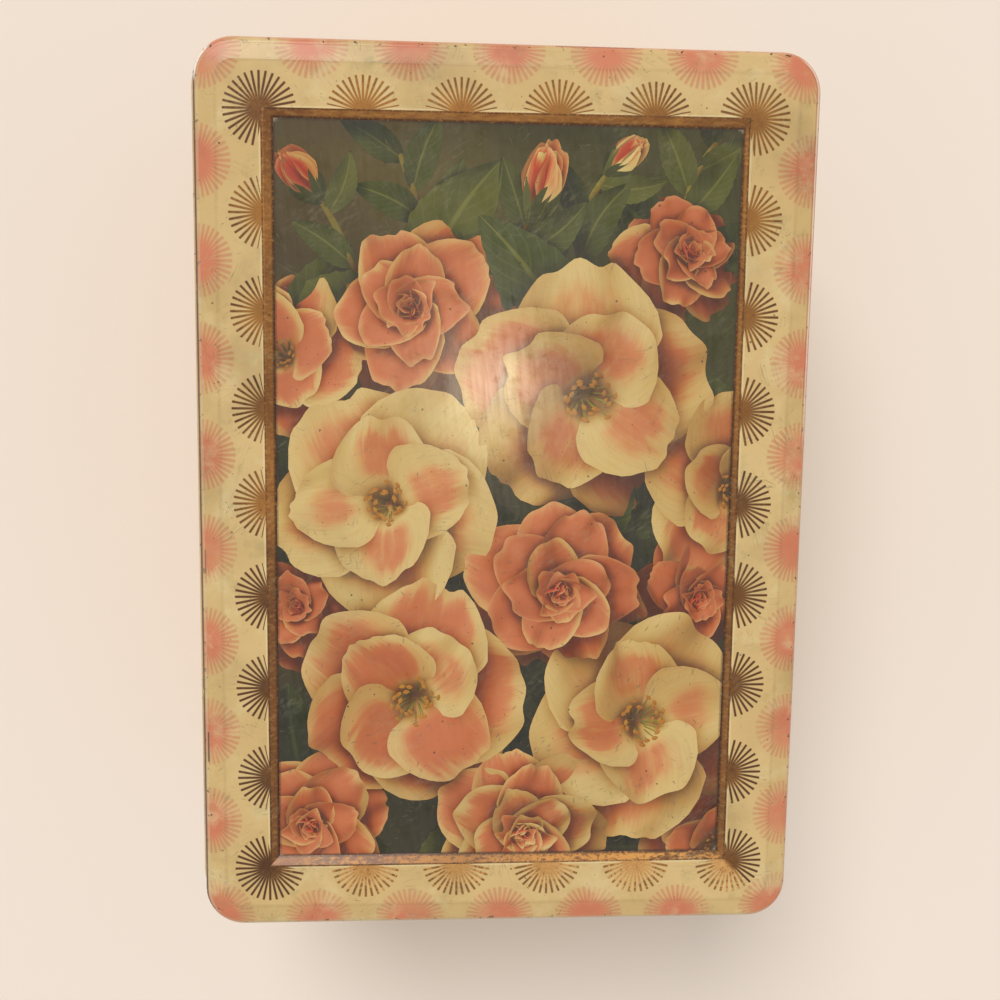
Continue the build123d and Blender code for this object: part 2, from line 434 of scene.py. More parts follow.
def make_gold_ink_and_sheen_group():
    """Gold printing ink with painted sheen: a dull brown, painted lighter in patches as if it caught the
    light, with dark grains in it.

    Distance and Ray say where the ink lies in a burst, and Brightness is its painted light. With Broken at 0
    the rays darken evenly to their tips, and at 1 they are painted bright, as lit gold, and broken by dark
    dashes, each ray in its own places.
    """
    inputs = (
        ("Position", "Vector", None), ("Brightness", "Float", 0.4), ("Distance", "Float", 0.0),
        ("Ray", "Float", 0.0), ("Broken", "Float", 0.0),
    )
    tree, g, given, result = node_group("gold ink and sheen", inputs, (("Color", "Color"),))
    position, distance, broken = given["Position"], given["Distance"], given["Broken"]
    x, y, _ = g.parts(position)
    tip = g.step(distance, 0.30 * BURST_RADIUS, 0.90 * BURST_RADIUS)
    # painted sheen: clouds where the ink is painted lighter, as if it caught the light
    patch = g.noise(position, 0.07, 3.0, 0.6)
    along = g.vector(distance * 0.7, given["Ray"] * 5.3, (x + y) * 0.04)
    often = 0.20 * (g.step(g.noise(position, 0.055, 1.0), 0.40, 0.60) + tip - 1.0)
    specks = 0.35 * (g.noise(position, 1.3, 3.0, 0.65) - 0.5)
    dashes = g.step(g.noise(along, 1.0, 2.0, 0.6) + specks + often, 0.44, 0.60)
    mottled = 0.5 * (g.noise(g.drawn_out(position, (1.4, 0.7, 1.0), 0.0), 1.0, 3.0, 0.6) - 0.5)
    darkening = tip * 0.12 * (1.0 - broken) + broken * (dashes * (0.24 + 0.24 * tip) + mottled - 0.05)
    level = given["Brightness"] + patch * 0.5 - 0.25 - darkening
    color = g.ramp(level, (0.05, GOLD_DARK), (0.50, GOLD), (0.95, GOLD_BRIGHT))
    grain = g.step(g.noise(position, 2.4, 3.0, 0.75), 0.54, 0.68)
    g.feed_all(result, Color=g.mix(grain * 0.40, color, GOLD_DARK))
    return tree


def make_cream_print_group():
    """Cream ground with pink bursts in softer, worn ink, a pale halo, stains and bleached places.

    Outer is 1 past the lid's crease, where the ground is painted duller, as shade on the sloping shoulder.
    """
    inputs = (
        ("Position", "Vector", None), ("Pink", "Float", 0.0), ("Distance", "Float", BURST_RADIUS),
        ("Outer", "Float", 0.0),
    )
    tree, g, given, result = node_group("cream print", inputs, (("Color", "Color"),))
    position, distance = given["Position"], given["Distance"]
    share = distance / BURST_RADIUS
    ink = g.mix(g.step(share, 0.40, 0.95), PINK, PINK_TIP)
    worn_ink = 0.94 - 0.30 * g.step(g.noise(position, 0.11, 2.0, 0.5), 0.50, 0.72)
    fading = 1.0 - 0.20 * g.step(share, 0.40, 1.0)
    stain = g.step(g.noise(g.shifted(position, 40.0, 8.0, 0.0), 0.11, 5.0, 0.7), 0.56, 0.72)
    bleached = g.step(g.noise(g.shifted(position, 9.0, 70.0, 0.0), 0.07, 5.0, 0.7), 0.50, 0.70)
    color = g.layers(
        CREAM,
        (g.step(g.noise(position, 0.03, 3.0), 0.35, 0.65) * 0.6, CREAM_OUTER),
        # painted shade on the shoulder past the crease
        (given["Outer"] * 0.30, CREAM_OUTER),
        (g.fade(share, 0.25, 1.15) * 0.65, PINK_HALO),
        (given["Pink"] * worn_ink * fading, ink),
        (stain * 0.35, CREAM_STAIN),
        (bleached * 0.5, CREAM_PALE),
    )
    g.feed_all(result, Color=color)
    return tree


def make_lacquer_group():
    """The gold lacquer inside: worn in clouds, with fine rubbed lines."""
    inputs = (("Position", "Vector", None), ("Scratch", "Float", 0.0))
    tree, g, given, result = node_group("gold lacquer", inputs, (("Color", "Color"),))
    cloud = g.step(g.noise(given["Position"], 0.05, 4.0, 0.6), 0.4, 0.75)
    color = g.layers(LACQUER, (cloud, LACQUER_WORN), (given["Scratch"] * 0.5, TIN))
    g.feed_all(result, Color=color)
    return tree


SHEET_MARKS = ("Scratch", "Scuff", "Grime", "Grain")    # the kinds of wear that a sheet's finish answers to


def make_sheet_group():
    """How a printed sheet answers light: ink under varnish on one side, bare lacquer on the other."""
    inputs = [(name, "Float", 0.0) for name in ("Printed", "Gold", "Dents", *SHEET_MARKS)]
    outputs = [(name, "Float") for name in ("Metallic", "Roughness", "Height")]
    tree, g, given, result = node_group("tin sheet", inputs, outputs)
    g.feed_all(
        result,
        Metallic=0.8 - given["Printed"] * (0.8 - 0.55 * given["Gold"]),
        Roughness=0.36 + given["Grain"] * 0.10 + given["Grime"] * 0.1,
        Height=given["Dents"] + given["Grain"] * 0.01 - given["Scratch"] * 0.02 - given["Scuff"] * 0.01,
    )
    return tree


# The groups that materials share.
BURST = make_burst_group()
WEAR = make_wear_group()
OUTLINE = make_outline_group()
PRINTED_SIDE = make_printed_side_group()
GOLD_INK_AND_SHEEN = make_gold_ink_and_sheen_group()
CREAM_PRINT = make_cream_print_group()
GOLD_LACQUER = make_lacquer_group()
TIN_SHEET = make_sheet_group()


# ---------------------------------------------------------------- bursts and printed sheets


def pink_burst(g, across, up):
    """A pink sunburst: more rays than a gold one has, broader and with softer sides."""
    return g.use(BURST, Across=across, Up=up, Rays=float(PINK_RAYS), Ray_Width=PINK_RAY_WIDTH, Softness=0.24)


def past_gold_ray(g, burst, height):
    """Positive where a point lies beyond the first ray above the gold line that its burst stands on.

    The ray that would lie along the line is left out, so a bare wedge opens between line and burst.
    """
    first_ray = burst["Distance"] * math.sin(2 * math.pi / GOLD_RAYS) - GOLD_RAY_WIDTH / 2
    return g.step(height - first_ray, -0.06, 0.06)


def burst_ink_and_sheen(g, position, burst, brightness, broken=0.3):
    """The colour of a gold burst's ink, with its painted sheen."""
    where = {name: burst[name] for name in ("Distance", "Ray")}
    return g.use(GOLD_INK_AND_SHEEN, Position=position, Brightness=brightness, Broken=broken, **where)["Color"]


def nearest_in_row(g, along, shift, most):
    """The nearest of the places shift, shift + 1 ... pitches along, no further out than most pitches."""
    place = g.math("ROUND", along / PITCH - shift) + shift
    return g.math("MINIMUM", g.either(place, -most), most)


def finish_printed_sheet(g, position, printed, wear, color, gold, dents):
    """Print under varnish where printed is 1, and gold lacquer on the side that faces the cards."""
    lacquer = g.use(GOLD_LACQUER, Position=position, Scratch=wear["Scratch"])["Color"]
    marks = {name: wear[name] for name in SHEET_MARKS}
    sheet = g.use(TIN_SHEET, Printed=printed, Gold=gold, Dents=dents, **marks)
    finish_material(
        g, Base_Color=g.mix(printed, lacquer, color), Metallic=sheet["Metallic"],
        Roughness=sheet["Roughness"], Normal=bump(g, sheet["Height"]),
        Specular_IOR_Level=0.3, Coat_Weight=0.35, Coat_Roughness=0.20
    )


# ---------------------------------------------------------------- the printed lid

# Painted light on the gold: how brightly it is painted as catching the light along the left and the right
# side, from the near end (0) to the far one (1).
LEFT_SHINE = (
    (0.0, 0.05), (0.44, 0.09), (0.48, 0.42), (0.53, 0.42), (0.60, 0.26), (0.84, 0.36), (0.90, 0.08)
)
RIGHT_SHINE = ((0.0, 0.12), (0.46, 0.15), (0.58, 0.24), (0.80, 0.36), (1.0, 0.42))

# Places on the lid, each as the two x or y between which it comes in or goes out.
LEFT_SIDE_X = (-60.0, -48.0)        # the left side's gold gives way to the right one's
# painted light: the band is painted bright and broken along its near end, dark at its start and brighter to
# the right, and duller at its far right corner
NEAR_BAND_Y = (-101.5, -98.0)       # the near end of the band, which is bright and broken
NEAR_BAND_X = (-66.0, -50.0)        # and begins only past its left corner
NEAR_BAND_DARK_X = (-60.0, -52.0)   # it starts dark
NEAR_BAND_LIT_X = (-20.0, 50.0)     # and grows brighter to the right
DULL_CORNER_X = (44.0, 58.0)        # the band is duller at the far right corner
DULL_CORNER_Y = (98.0, 100.0)
FAR_RIM_Y = (112.0, 116.0)
NEAR_RIM_Y = (-118.5, -116.5)
RIGHT_RIM_X = (76.0, 79.0)
LEFT_RIM_X = (-79.5, -77.5)
# painted shade: a dark line down the left edge; painted reflections: lines down the right edge; a painted
# glint, as bare metal, at the far left corner
LEFT_LINE_X = (-82.0, -79.5)        # a dark line down the outside of the left edge
LEFT_LINE_Y = (100.0, 108.0)        # and its far end
RIGHT_REFLECTIONS_Y = (10.0, 30.0)        # where the lines down the right edge begin
BARE_GLINT_CORNER_X = (-79.5, -77.0)      # bare metal at the far left corner
BARE_GLINT_CORNER_Y = (108.0, 112.0)
RUBBED_X = 21.8                     # middle of a rubbed place on the far rim
RUBBED_HALF = 10.8

# Lines scored into the left edge: middle (y), half their length, where they end, and how dark they are.
LEFT_SCORES = ((-68.4, 3.9, 4.6, 1.0), (-16.5, 2.8, 3.6, 0.6))

# Colours of the lid's age, and of the shade, highlights, reflections and sheen painted on it.
BARE_LINE = srgb(232, 212, 164)
BAND_STREAK = srgb(104, 54, 34)
BAND_SHADE_AND_DIRT = srgb(58, 32, 20)
SMEAR_AND_SHADE_DARK = srgb(104, 64, 30)
SHEEN_SMEAR_LEFT = srgb(162, 108, 40)
SHEEN_SMEAR_RIGHT = srgb(202, 144, 70)
SMEAR_FLECK = srgb(76, 44, 24)
NICKED = srgb(120, 112, 76)
SCUFFED = srgb(176, 170, 132)
CHIPPED_AND_SHADE = srgb(66, 40, 30)
RIM_REFLECTED_PINK = srgb(206, 146, 118)
RIM_HIGHLIGHT = srgb(206, 192, 156)
RIM_SHADE = srgb(86, 52, 38)
RIM_REFLECTED_PINK_LINE = srgb(178, 112, 88)
RIM_HIGHLIGHT_LINE = srgb(244, 222, 204)
RIM_RUBBED = srgb(150, 82, 64)
BARE_METAL_GLINT = srgb(240, 234, 222)


def lid_gold(g, print_x, print_y):
    """The gold bursts of the lid: on the band's outer line, the corner ones a little further out."""
    corner_x, corner_y = GOLD_CORNER
    print_x = print_x - GOLD_SLIP[0]
    print_y = print_y - GOLD_SLIP[1]
    column = nearest_in_row(g, print_x, 0.5, GOLD_COLUMNS / 2)
    row = nearest_in_row(g, print_y, 0.0, GOLD_ROWS / 2)
    at_side = g.math("GREATER_THAN", abs(column), GOLD_COLUMNS / 2 - 0.1)
    at_end = g.math("GREATER_THAN", abs(row), GOLD_ROWS / 2 - 0.1)
    at_corner = at_side * at_end
    side_x = BAND_WIDTH / 2 - GOLD_SUNK
    end_y = BAND_LENGTH / 2 - GOLD_SUNK
    center_x = column * PITCH + g.math("SIGN", column) * at_side * (side_x - GOLD_COLUMNS / 2 * PITCH)
    center_y = row * PITCH + g.math("SIGN", row) * at_end * (end_y - GOLD_ROWS / 2 * PITCH)
    center_x = center_x + g.math("SIGN", column) * at_corner * (corner_x - side_x)
    center_y = center_y + g.math("SIGN", row) * at_corner * (corner_y - end_y)
    return g.use(BURST, Across=print_x - center_x, Up=print_y - center_y)


def lid_pink(g, from_side, from_end, print_x, print_y):
    """The pink bursts of the lid: between the gold ones, centred near the outline."""
    row = nearest_in_row(g, print_y, 0.5, GOLD_ROWS / 2 - 0.5)
    column = nearest_in_row(g, print_x, 0.0, GOLD_COLUMNS / 2 - 0.5)
    corner_inset = PINK_CORNER_INSET - SHOULDER_DROP
    bursts = [
        pink_burst(g, from_side - PINK_INSET, print_y - row * PITCH),
        pink_burst(g, from_end - PINK_INSET, print_x - column * PITCH),
        pink_burst(g, from_side - corner_inset, from_end - corner_inset),
    ]
    distance = bursts[0]["Distance"]
    for burst in bursts[1:]:
        distance = g.math("MINIMUM", distance, burst["Distance"])
    return g.either(*[burst["Mask"] for burst in bursts]), distance


def gold_light(g, x, y):
    """How brightly the sides' gold is painted as lit, and a mask of the near end, where it is painted
    brighter and broken.
    """
    share = y / LID_LENGTH + 0.5
    left, right = (
        g.ramp(share, *[(place, (level, level, level, 1.0)) for place, level in shine])
        for shine in (LEFT_SHINE, RIGHT_SHINE)
    )
    past_miter = PICTURE_WIDTH / 2 - PICTURE_LENGTH / 2 - y - abs(x)
    near_end = g.fade(y, *NEAR_BAND_Y) * g.step(past_miter, -1.0, 1.5) * g.step(x, *NEAR_BAND_X)
    return g.mix(g.step(x, *LEFT_SIDE_X), left, right), near_end


def band_print(g, position, color, past_band, past_picture, near_end):
    """The gold band: faint streaks on three sides, the bright ones painted glints, and along the near end
    painted
    light: lit gold that grows brighter to the right from a dark start, with brown smears and flecks.

    A dark brown line lies at its outer line, and painted shade with dirt in the recess's corner.
    """
    x, _, _ = g.parts(position)
    streaks = g.noise(g.drawn_out(position, (2.4, 0.9, 1.0), 0.0), 1.0, 3.0, 0.6)
    smears = g.noise(g.drawn_out(position, (2.0, 0.8, 1.0), 0.0), 1.0, 4.0, 0.6)
    smears = smears + 0.5 * (g.noise(position, 0.05, 2.0) - 0.5)
    # painted light along the near end: lit gold, dark at its left start and brighter to the right, broken by
    # brown smears and flecks
    smeared = g.layers(
        g.mix(g.step(x, *NEAR_BAND_LIT_X), SHEEN_SMEAR_LEFT, SHEEN_SMEAR_RIGHT),
        (g.either(g.fade(smears, 0.36, 0.56), g.fade(x, *NEAR_BAND_DARK_X)), SMEAR_AND_SHADE_DARK),
        (g.step(g.noise(position, 1.0, 3.0, 0.7), 0.54, 0.62) * 0.6, SMEAR_FLECK),
    )
    dirt_and_shade = g.noise(position, 1.6, 3.0, 0.7)
    # painted shade with dirt in the recess's corner
    corner_shade_and_dirt = g.fade(past_picture, 0.25, 0.9) * g.step(dirt_and_shade, 0.30, 0.50)
    at_line = g.near(past_band, -0.15, 0.10, 0.40) * g.step(dirt_and_shade, 0.38, 0.52)
    return g.layers(
        color,
        (0.2, COPPER),
        # painted glints: bright streaks
        (g.step(streaks, 0.50, 0.66) * 0.22, GOLD_BRIGHT),
        (g.fade(streaks, 0.36, 0.50) * 0.30, BAND_STREAK),
        (near_end * 0.9, smeared),
        (g.either(corner_shade_and_dirt * 0.85, at_line * 0.7), BAND_SHADE_AND_DIRT),
    )


def lid_edge_wear_and_shade(g, position, from_outline, drop):
    """Chips at the rounded edge and the hem where the print is gone, lines scored into the left edge, and a
    painted shade line down the left side.
    """
    x, y, _ = g.parts(position)
    at_rim = g.near(from_outline, 0.4, 0.5, 2.2) * g.fade(drop, 1.6, 3.2)
    at_hem = g.step(drop, HEM_DROP - 1.5, HEM_DROP + 0.6)
    flecks = g.noise(position, 0.55, 4.0, 0.6) + g.either(at_rim * 0.13, at_hem * 0.08)
    chips = g.step(flecks, 0.73, 0.76) * g.either(at_rim, at_hem)
    ragged = 4.0 * (g.noise(position, 0.45, 4.0, 0.65) - 0.5)
    # painted shade: a patchy dark line down the rounded left edge
    left_shade_line = g.step(drop, 0.9, 1.4) * g.fade(drop + ragged, 1.9, 2.5)
    left_shade_line = left_shade_line * g.fade(x, 0.5 - LID_WIDTH / 2, 3.0 - LID_WIDTH / 2)
    left_shade_line = left_shade_line * g.step(g.noise(position, 0.12, 3.0), 0.22, 0.34)
    scores = [g.near(y, middle, half, limit) * dark for middle, half, limit, dark in LEFT_SCORES]
    scored = g.near(from_outline, 1.5, 0.16, 0.30) * g.fade(x, -60.0, -59.0)
    return g.either(chips, left_shade_line * 0.9, scored * g.either(*scores))


def rim_wear_and_painted_light(g, position, color, from_outline, drop):
    """The rim over its print, with painted reflections, highlights and shade. A painted pink reflection runs
    along the far and the right edge.

    The near and the left edge carry painted highlights. A ragged painted shade line runs down the left one,
    and a painted pink reflection line and a pale highlight line down the right. The far one is rubbed brown
    in one place, and has a painted glint, as bare metal, at its left corner.
    """
    x, y, _ = g.parts(position)
    far = g.step(y, *FAR_RIM_Y)
    right = g.step(x, *RIGHT_RIM_X)
    on_top = g.fade(drop, 2.0, 3.0)
    # painted reflection: pink along the rounded far and right edges
    edge_reflection = g.fade(from_outline, 0.2, 1.1) * g.either(far, right) * on_top
    # painted highlights along the near and the left edge
    near_highlight = g.fade(from_outline, 0.6, 1.6) * g.fade(y, *NEAR_RIM_Y)
    left_highlight = g.near(from_outline, 1.1, 0.2, 0.6) * g.fade(x, *LEFT_RIM_X)
    ragged = g.noise(position, 0.5, 4.0, 0.65)
    # painted shade: a ragged dark line down the left edge
    dark = g.near(from_outline, 0.2, 0.3, 0.6) * g.fade(x, *LEFT_LINE_X) * g.fade(y, *LEFT_LINE_Y)
    dark = dark * (0.35 + 0.65 * g.step(g.noise(position, 0.2, 3.0), 0.35, 0.50))
    # painted reflections down the right edge: a pink line and a pale highlight line
    right_reflections = right * g.step(y, *RIGHT_REFLECTIONS_Y) * on_top
    rubbed = g.fade(abs(x - RUBBED_X) + ragged, RUBBED_HALF, RUBBED_HALF + 0.4)
    rubbed = rubbed * g.fade(from_outline, 0.5, 0.7) * far * g.fade(drop + 5.0 * ragged, 4.0, 5.0)
    # painted glint, as worn bare metal, at the far left corner
    bare = g.near(from_outline, 0.5, 0.25, 0.5) * g.fade(x, *BARE_GLINT_CORNER_X) * g.step(y, *BARE_GLINT_CORNER_Y)
    bare = bare * g.step(g.noise(position, 0.5, 3.0), 0.38, 0.48) * g.fade(drop, 1.5, 2.5)
    return g.layers(
        color,
        (edge_reflection * 0.55, RIM_REFLECTED_PINK),
        (g.either(near_highlight * 0.45, left_highlight * 0.30), RIM_HIGHLIGHT),
        (dark * g.fade(drop + 4.0 * ragged, 3.9, 4.7) * 0.75, RIM_SHADE),
        (right_reflections * g.near(from_outline, 1.35, 0.08, 0.25) * 0.6, RIM_REFLECTED_PINK_LINE),
        (right_reflections * g.near(from_outline, 0.80, 0.12, 0.30) * 0.7, RIM_HIGHLIGHT_LINE),
        (rubbed * 0.75, RIM_RUBBED),
        (bare, BARE_METAL_GLINT),
    )


def lid_material():
    """The lid's print: cream ground, gold bursts round the band and pink ones over the edge, with painted
    sheen, shade, highlights and reflections.
    """
    material, g = new_material("lid_print")
    position = g.position()
    x, y, z = g.parts(position)
    printed = g.use(PRINTED_SIDE, Position=position, Facing=g.facing())["Mask"]
    wear = g.use(WEAR, Position=position)
    print_x = x + PRINT_SHIFT + y * PRINT_TURN
    print_y = y - x * PRINT_TURN

    # How far each point lies in from the outline, along the sheet, from the long and the short sides.
    drop = LID_TOP - z
    from_side = LID_WIDTH / 2 - abs(x) - drop - (print_x - x) * g.math("SIGN", x)
    from_end = LID_LENGTH / 2 - abs(y) - drop
    from_outline = g.use(OUTLINE, Position=position)["Inset"]

    # The ground and the pink.
    pink, pink_distance = lid_pink(g, from_side, from_end, print_x, print_y)
    # painted shade: the shoulder past the crease is painted duller
    outer = g.fade(from_outline, SHOULDER_WIDTH - 0.3, SHOULDER_WIDTH + 0.3)
    color = g.use(CREAM_PRINT, Position=position, Pink=pink, Distance=pink_distance, Outer=outer)["Color"]

    # The gold, with a bare line round the band.
    burst = lid_gold(g, print_x, print_y)
    past_band = g.either(abs(print_x) - BAND_WIDTH / 2, abs(print_y) - BAND_LENGTH / 2)
    past_picture = g.either(abs(x) - PICTURE_WIDTH / 2, abs(y) - PICTURE_LENGTH / 2)
    rays = burst["Mask"] * past_gold_ray(g, burst, past_band + GOLD_SUNK)
    band = g.fade(past_band, -0.05, 0.10)
    # painted light: the gold's brightness follows its side's painted shine, raised along the near end and
    # lowered at the far right corner
    side, near_end = gold_light(g, x, y)
    ray_ink_and_sheen = burst_ink_and_sheen(g, position, burst, side + 0.64 * near_end, 0.3 + 0.7 * near_end)
    band_level = 0.12 + 0.95 * side - 0.12 * g.step(y, *DULL_CORNER_Y) * g.step(x, *DULL_CORNER_X)
    band_ink_and_sheen = g.use(GOLD_INK_AND_SHEEN, Position=position, Brightness=band_level)["Color"]
    band_ink_and_sheen = band_print(g, position, band_ink_and_sheen, past_band, past_picture, near_end)
    bare_line = g.near(past_band, 0.30, 0.10, 0.28)
    color = g.layers(color, (bare_line * 0.5, BARE_LINE), (rays, ray_ink_and_sheen), (band, band_ink_and_sheen))

    # Age all over, painted shade in the crease where the shoulder meets the flat border, and at the edge
    # wear with painted shade, highlights, reflections and a glint.
    color = g.darkened(wear["Grime"] * 0.28, color, GRIME_AND_SHADE)
    color = g.layers(
        color,
        (wear["Speck"] * 0.8, RUST),
        (wear["Scratch"] * 0.45, GRIME_AND_SHADE),
        (wear["Nick"] * 0.20, NICKED),
        (wear["Scuff"] * 0.22, SCUFFED),
    )
    # painted shade in the crease, patchy
    crease = g.near(from_outline, SHOULDER_WIDTH, 0.1, 0.8) * g.noise(position, 0.15, 3.0, 0.6)
    color = g.darkened(crease * 0.20, color, GRIME_AND_SHADE)
    # chips where the print is gone, and painted shade down the left edge
    color = g.mix(lid_edge_wear_and_shade(g, position, from_outline, drop), color, CHIPPED_AND_SHADE)
    color = rim_wear_and_painted_light(g, position, color, from_outline, drop)

    gold = g.either(rays, band) * (1.0 - 0.5 * near_end)
    finish_printed_sheet(g, position, printed, wear, color, gold, g.noise(position, 0.02, 2.0) * 0.6)
    return material


# ---------------------------------------------------------------- body, base and hinge

BODY_BAND_LOW = 8.5         # the gold line that the body's bursts stand on
BODY_BAND_HIGH = 10.9
BODY_PINK_LEVEL = 95.0      # centres of the pink bursts, just under the lid's hem
BODY_GOLD_BRIGHTNESS = 0.42
BODY_RUBBED = srgb(168, 152, 104)


def body_bursts(g, x, y, z):
    """The body's bursts: the gold ones with their rays' mask, and the pink ones.

    The end walls' rows start half a pitch later than the side walls', and each wall's row is centred.
    """
    on_end = g.math("GREATER_THAN", abs(y) - BODY_LENGTH / 2, abs(x) - BODY_WIDTH / 2)
    round_the_wall = y + (x - y) * on_end
    most = GOLD_ROWS / 2 + (GOLD_COLUMNS / 2 - GOLD_ROWS / 2) * on_end
    gold_place = nearest_in_row(g, round_the_wall, on_end * 0.5, most)
    pink_place = nearest_in_row(g, round_the_wall, 0.5 - on_end * 0.5, most - 0.5)
    height = z - BODY_BAND_HIGH
    gold = g.use(BURST, Across=round_the_wall - gold_place * PITCH, Up=height)
    rays = gold["Mask"] * past_gold_ray(g, gold, height) * g.step(height, -0.02, 0.02)
    return gold, rays, pink_burst(g, round_the_wall - pink_place * PITCH, z - BODY_PINK_LEVEL)


def body_material():
    """The body's print: cream, gold bursts on a gold line at the foot and pink ones under the lid."""
    material, g = new_material("body_print")
    position = g.position()
    x, y, z = g.parts(position)
    size = {"Width": BODY_WIDTH, "Length": BODY_LENGTH, "Corner": BODY_CORNER}
    printed = g.use(PRINTED_SIDE, Position=position, Facing=g.facing(), **size)["Mask"]
    wear = g.use(WEAR, Position=position)
    burst, rays, pink = body_bursts(g, x, y, z)
    line = g.step(z, BODY_BAND_LOW - 0.06, BODY_BAND_LOW + 0.06)
    line = line * g.fade(z, BODY_BAND_HIGH - 0.06, BODY_BAND_HIGH + 0.06)
    gold = g.either(rays, line)
    color = g.use(CREAM_PRINT, Position=position, Pink=pink["Mask"], Distance=pink["Distance"])["Color"]
    color = g.mix(gold, color, burst_ink_and_sheen(g, position, burst, BODY_GOLD_BRIGHTNESS))

    # Darker towards the foot in patches; wear: rub marks, and chips at the foot and down the corners.
    rubbed = g.step(g.noise(g.scaled(position, (1.0, 1.0, 0.35)), 0.13, 5.0, 0.7), 0.54, 0.72)
    low = g.fade(z, 3.0, 16.0) * g.step(g.noise(position, 0.12, 5.0, 0.7), 0.42, 0.62)
    on_corner = g.step(abs(x) + abs(y) - (BODY_WIDTH + BODY_LENGTH) / 2, -9.0, -5.0)
    flecks = g.noise(position, 0.4, 4.0, 0.65) + g.either(g.fade(z, 3.0, 7.0) * 0.14, on_corner * 0.09)
    chips = g.step(flecks, 0.74, 0.77) * g.either(g.fade(z, 5.0, 18.0), on_corner)
    color = g.darkened(wear["Grime"] * 0.14, color, GRIME_AND_SHADE)
    color = g.mix(rubbed * 0.22, color, BODY_RUBBED)
    color = g.darkened(low * 0.40, color, GRIME_AND_SHADE)
    color = g.layers(color, (wear["Speck"] * 0.8, RUST), (wear["Scratch"] * 0.6, TIN), (chips, RUST))

    finish_printed_sheet(g, position, printed, wear, color, gold, g.noise(position, 0.018, 3.0) * 1.2)
    return material


def bare_metal_material(name, clean, dull, roughness):
    """Unprinted sheet or wire: rolled grain, stains, and rust that starts in spots."""
    material, g = new_material(name)
    position = g.position()
    wear = g.use(WEAR, Position=position)
    rolled = g.noise(g.scaled(position, (8.0, 0.15, 8.0)), 1.0, 2.0)
    stain = g.step(g.noise(position, 0.045, 5.0, 0.62), 0.40, 0.72) * 0.7
    rust = g.step(g.noise(position, 0.11, 6.0, 0.7), 0.66, 0.74)
    color = g.layers(
        clean, (stain, dull), (rolled * 0.25, dull), (rust * 0.8, RUST), (wear["Scratch"] * 0.6, TIN)
    )
    height = rolled * 0.004 + rust * 0.03 - wear["Scratch"] * 0.02 + wear["Grain"] * 0.006
    finish_material(
        g, Base_Color=color, Metallic=0.9 - rust * 0.8, Roughness=roughness + stain * 0.12 + rust * 0.3,
        Normal=bump(g, height)
    )
    return material


# ---------------------------------------------------------------- the picture

# The picture is a bouquet that is modelled in the round, lit once in numpy and then pressed almost
# flat, as a printed picture is. Depths are counted up from the picture's ground.
PICTURE_LEVEL = LID_TOP - PICTURE_DEPTH
PRESS = 0.01                # what is left of the bouquet's depth in the print
LAYER = 0.03                # the print's nearest point above the panel
SUN = np.array([-0.52, 0.58, 0.62])     # towards the light of the picture
GRAIN = 0.5                 # cell of the height map that shades the bouquet
BOUQUET_SEED = 11           # of the random draws that tell its petals and leaves apart

# Rings of petals, from the outside in: how many, length, width, rise at the foot and droop at the
# tip in degrees above the flower's face, cup, curl of the edges, ruffle and lift above the ring below.
OPEN_RINGS = (
    (5, 28.0, 34.0, 24, -18, 0.45, 0.10, 0.10, 0.0),
    (4, 22.0, 26.0, 44, 2, 0.70, 0.14, 0.10, 5.5),
)
DOUBLE_RINGS = (
    (6, 24.0, 25.0, 14, -34, 0.50, 0.12, 0.10, 0.0),
    (5, 21.0, 22.0, 38, -14, 0.80, 0.16, 0.10, 1.5),
    (5, 18.0, 18.0, 58, 14, 1.00, 0.16, 0.12, 3.0),
    (5, 14.0, 15.0, 74, 42, 1.10, 0.12, 0.14, 4.0),
    (4, 10.5, 12.0, 84, 74, 1.20, 0.10, 0.14, 4.0),
    (3, 8.0, 9.0, 88, 96, 1.30, 0.05, 0.10, 4.0),
)
BUD_RINGS = (
    (4, 20.0, 15.0, 72, 108, 1.15, 0.00, 0.03, 0.0),
    (3, 19.0, 13.0, 78, 104, 1.20, 0.00, 0.05, 1.0),
)

# Each flower: kind, place of its foot (x, y, depth), size, tilt of its axis (towards x, towards y)
# in degrees, spin in degrees, and how coral its petals are.
FLOWERS = (
    ("double", (46.0, 66.0, 6.0), 0.78, (22, 20), 10, 0.85),
    ("open", (-58.0, 38.0, 5.0), 0.82, (-22, 10), 70, 0.60),
    ("open", (60.0, 4.0, 8.0), 0.92, (24, -4), 15, 0.45),
    ("double", (52.0, -26.0, 8.0), 0.78, (20, -10), 48, 0.95),
    ("double", (-24.0, 50.0, 15.0), 1.10, (-12, 12), 0, 0.70),
    ("open", (20.0, 30.0, 19.0), 1.28, (14, -10), 20, 0.40),
    ("double", (-54.0, -30.0, 9.0), 0.72, (-24, 6), 25, 0.90),
    ("open", (-31.0, -1.0, 22.0), 1.18, (-14, 8), 50, 0.22),
    ("open", (37.0, -62.0, 20.0), 1.22, (16, 2), 52, 0.28),
    ("double", (14.0, -24.0, 28.0), 1.08, (8, -8), 33, 0.80),
    ("double", (-52.0, -90.0, 14.0), 0.92, (-10, -14), 12, 0.75),
    ("open", (-24.0, -54.0, 26.0), 1.20, (-6, -12), 5, 0.50),
    ("open", (60.0, -98.0, 8.0), 0.80, (16, -22), 34, 0.62),
    ("double", (6.0, -92.0, 27.0), 1.02, (4, -18), 40, 0.50),
    ("bud", (6.0, 76.0, 9.0), 1.05, (14, 66), 0, 0.70),
    ("bud", (-50.0, 80.0, 6.0), 0.85, (-34, 58), 40, 0.85),
    ("bud", (26.0, 88.0, 5.0), 0.70, (40, 52), 75, 0.55),
)

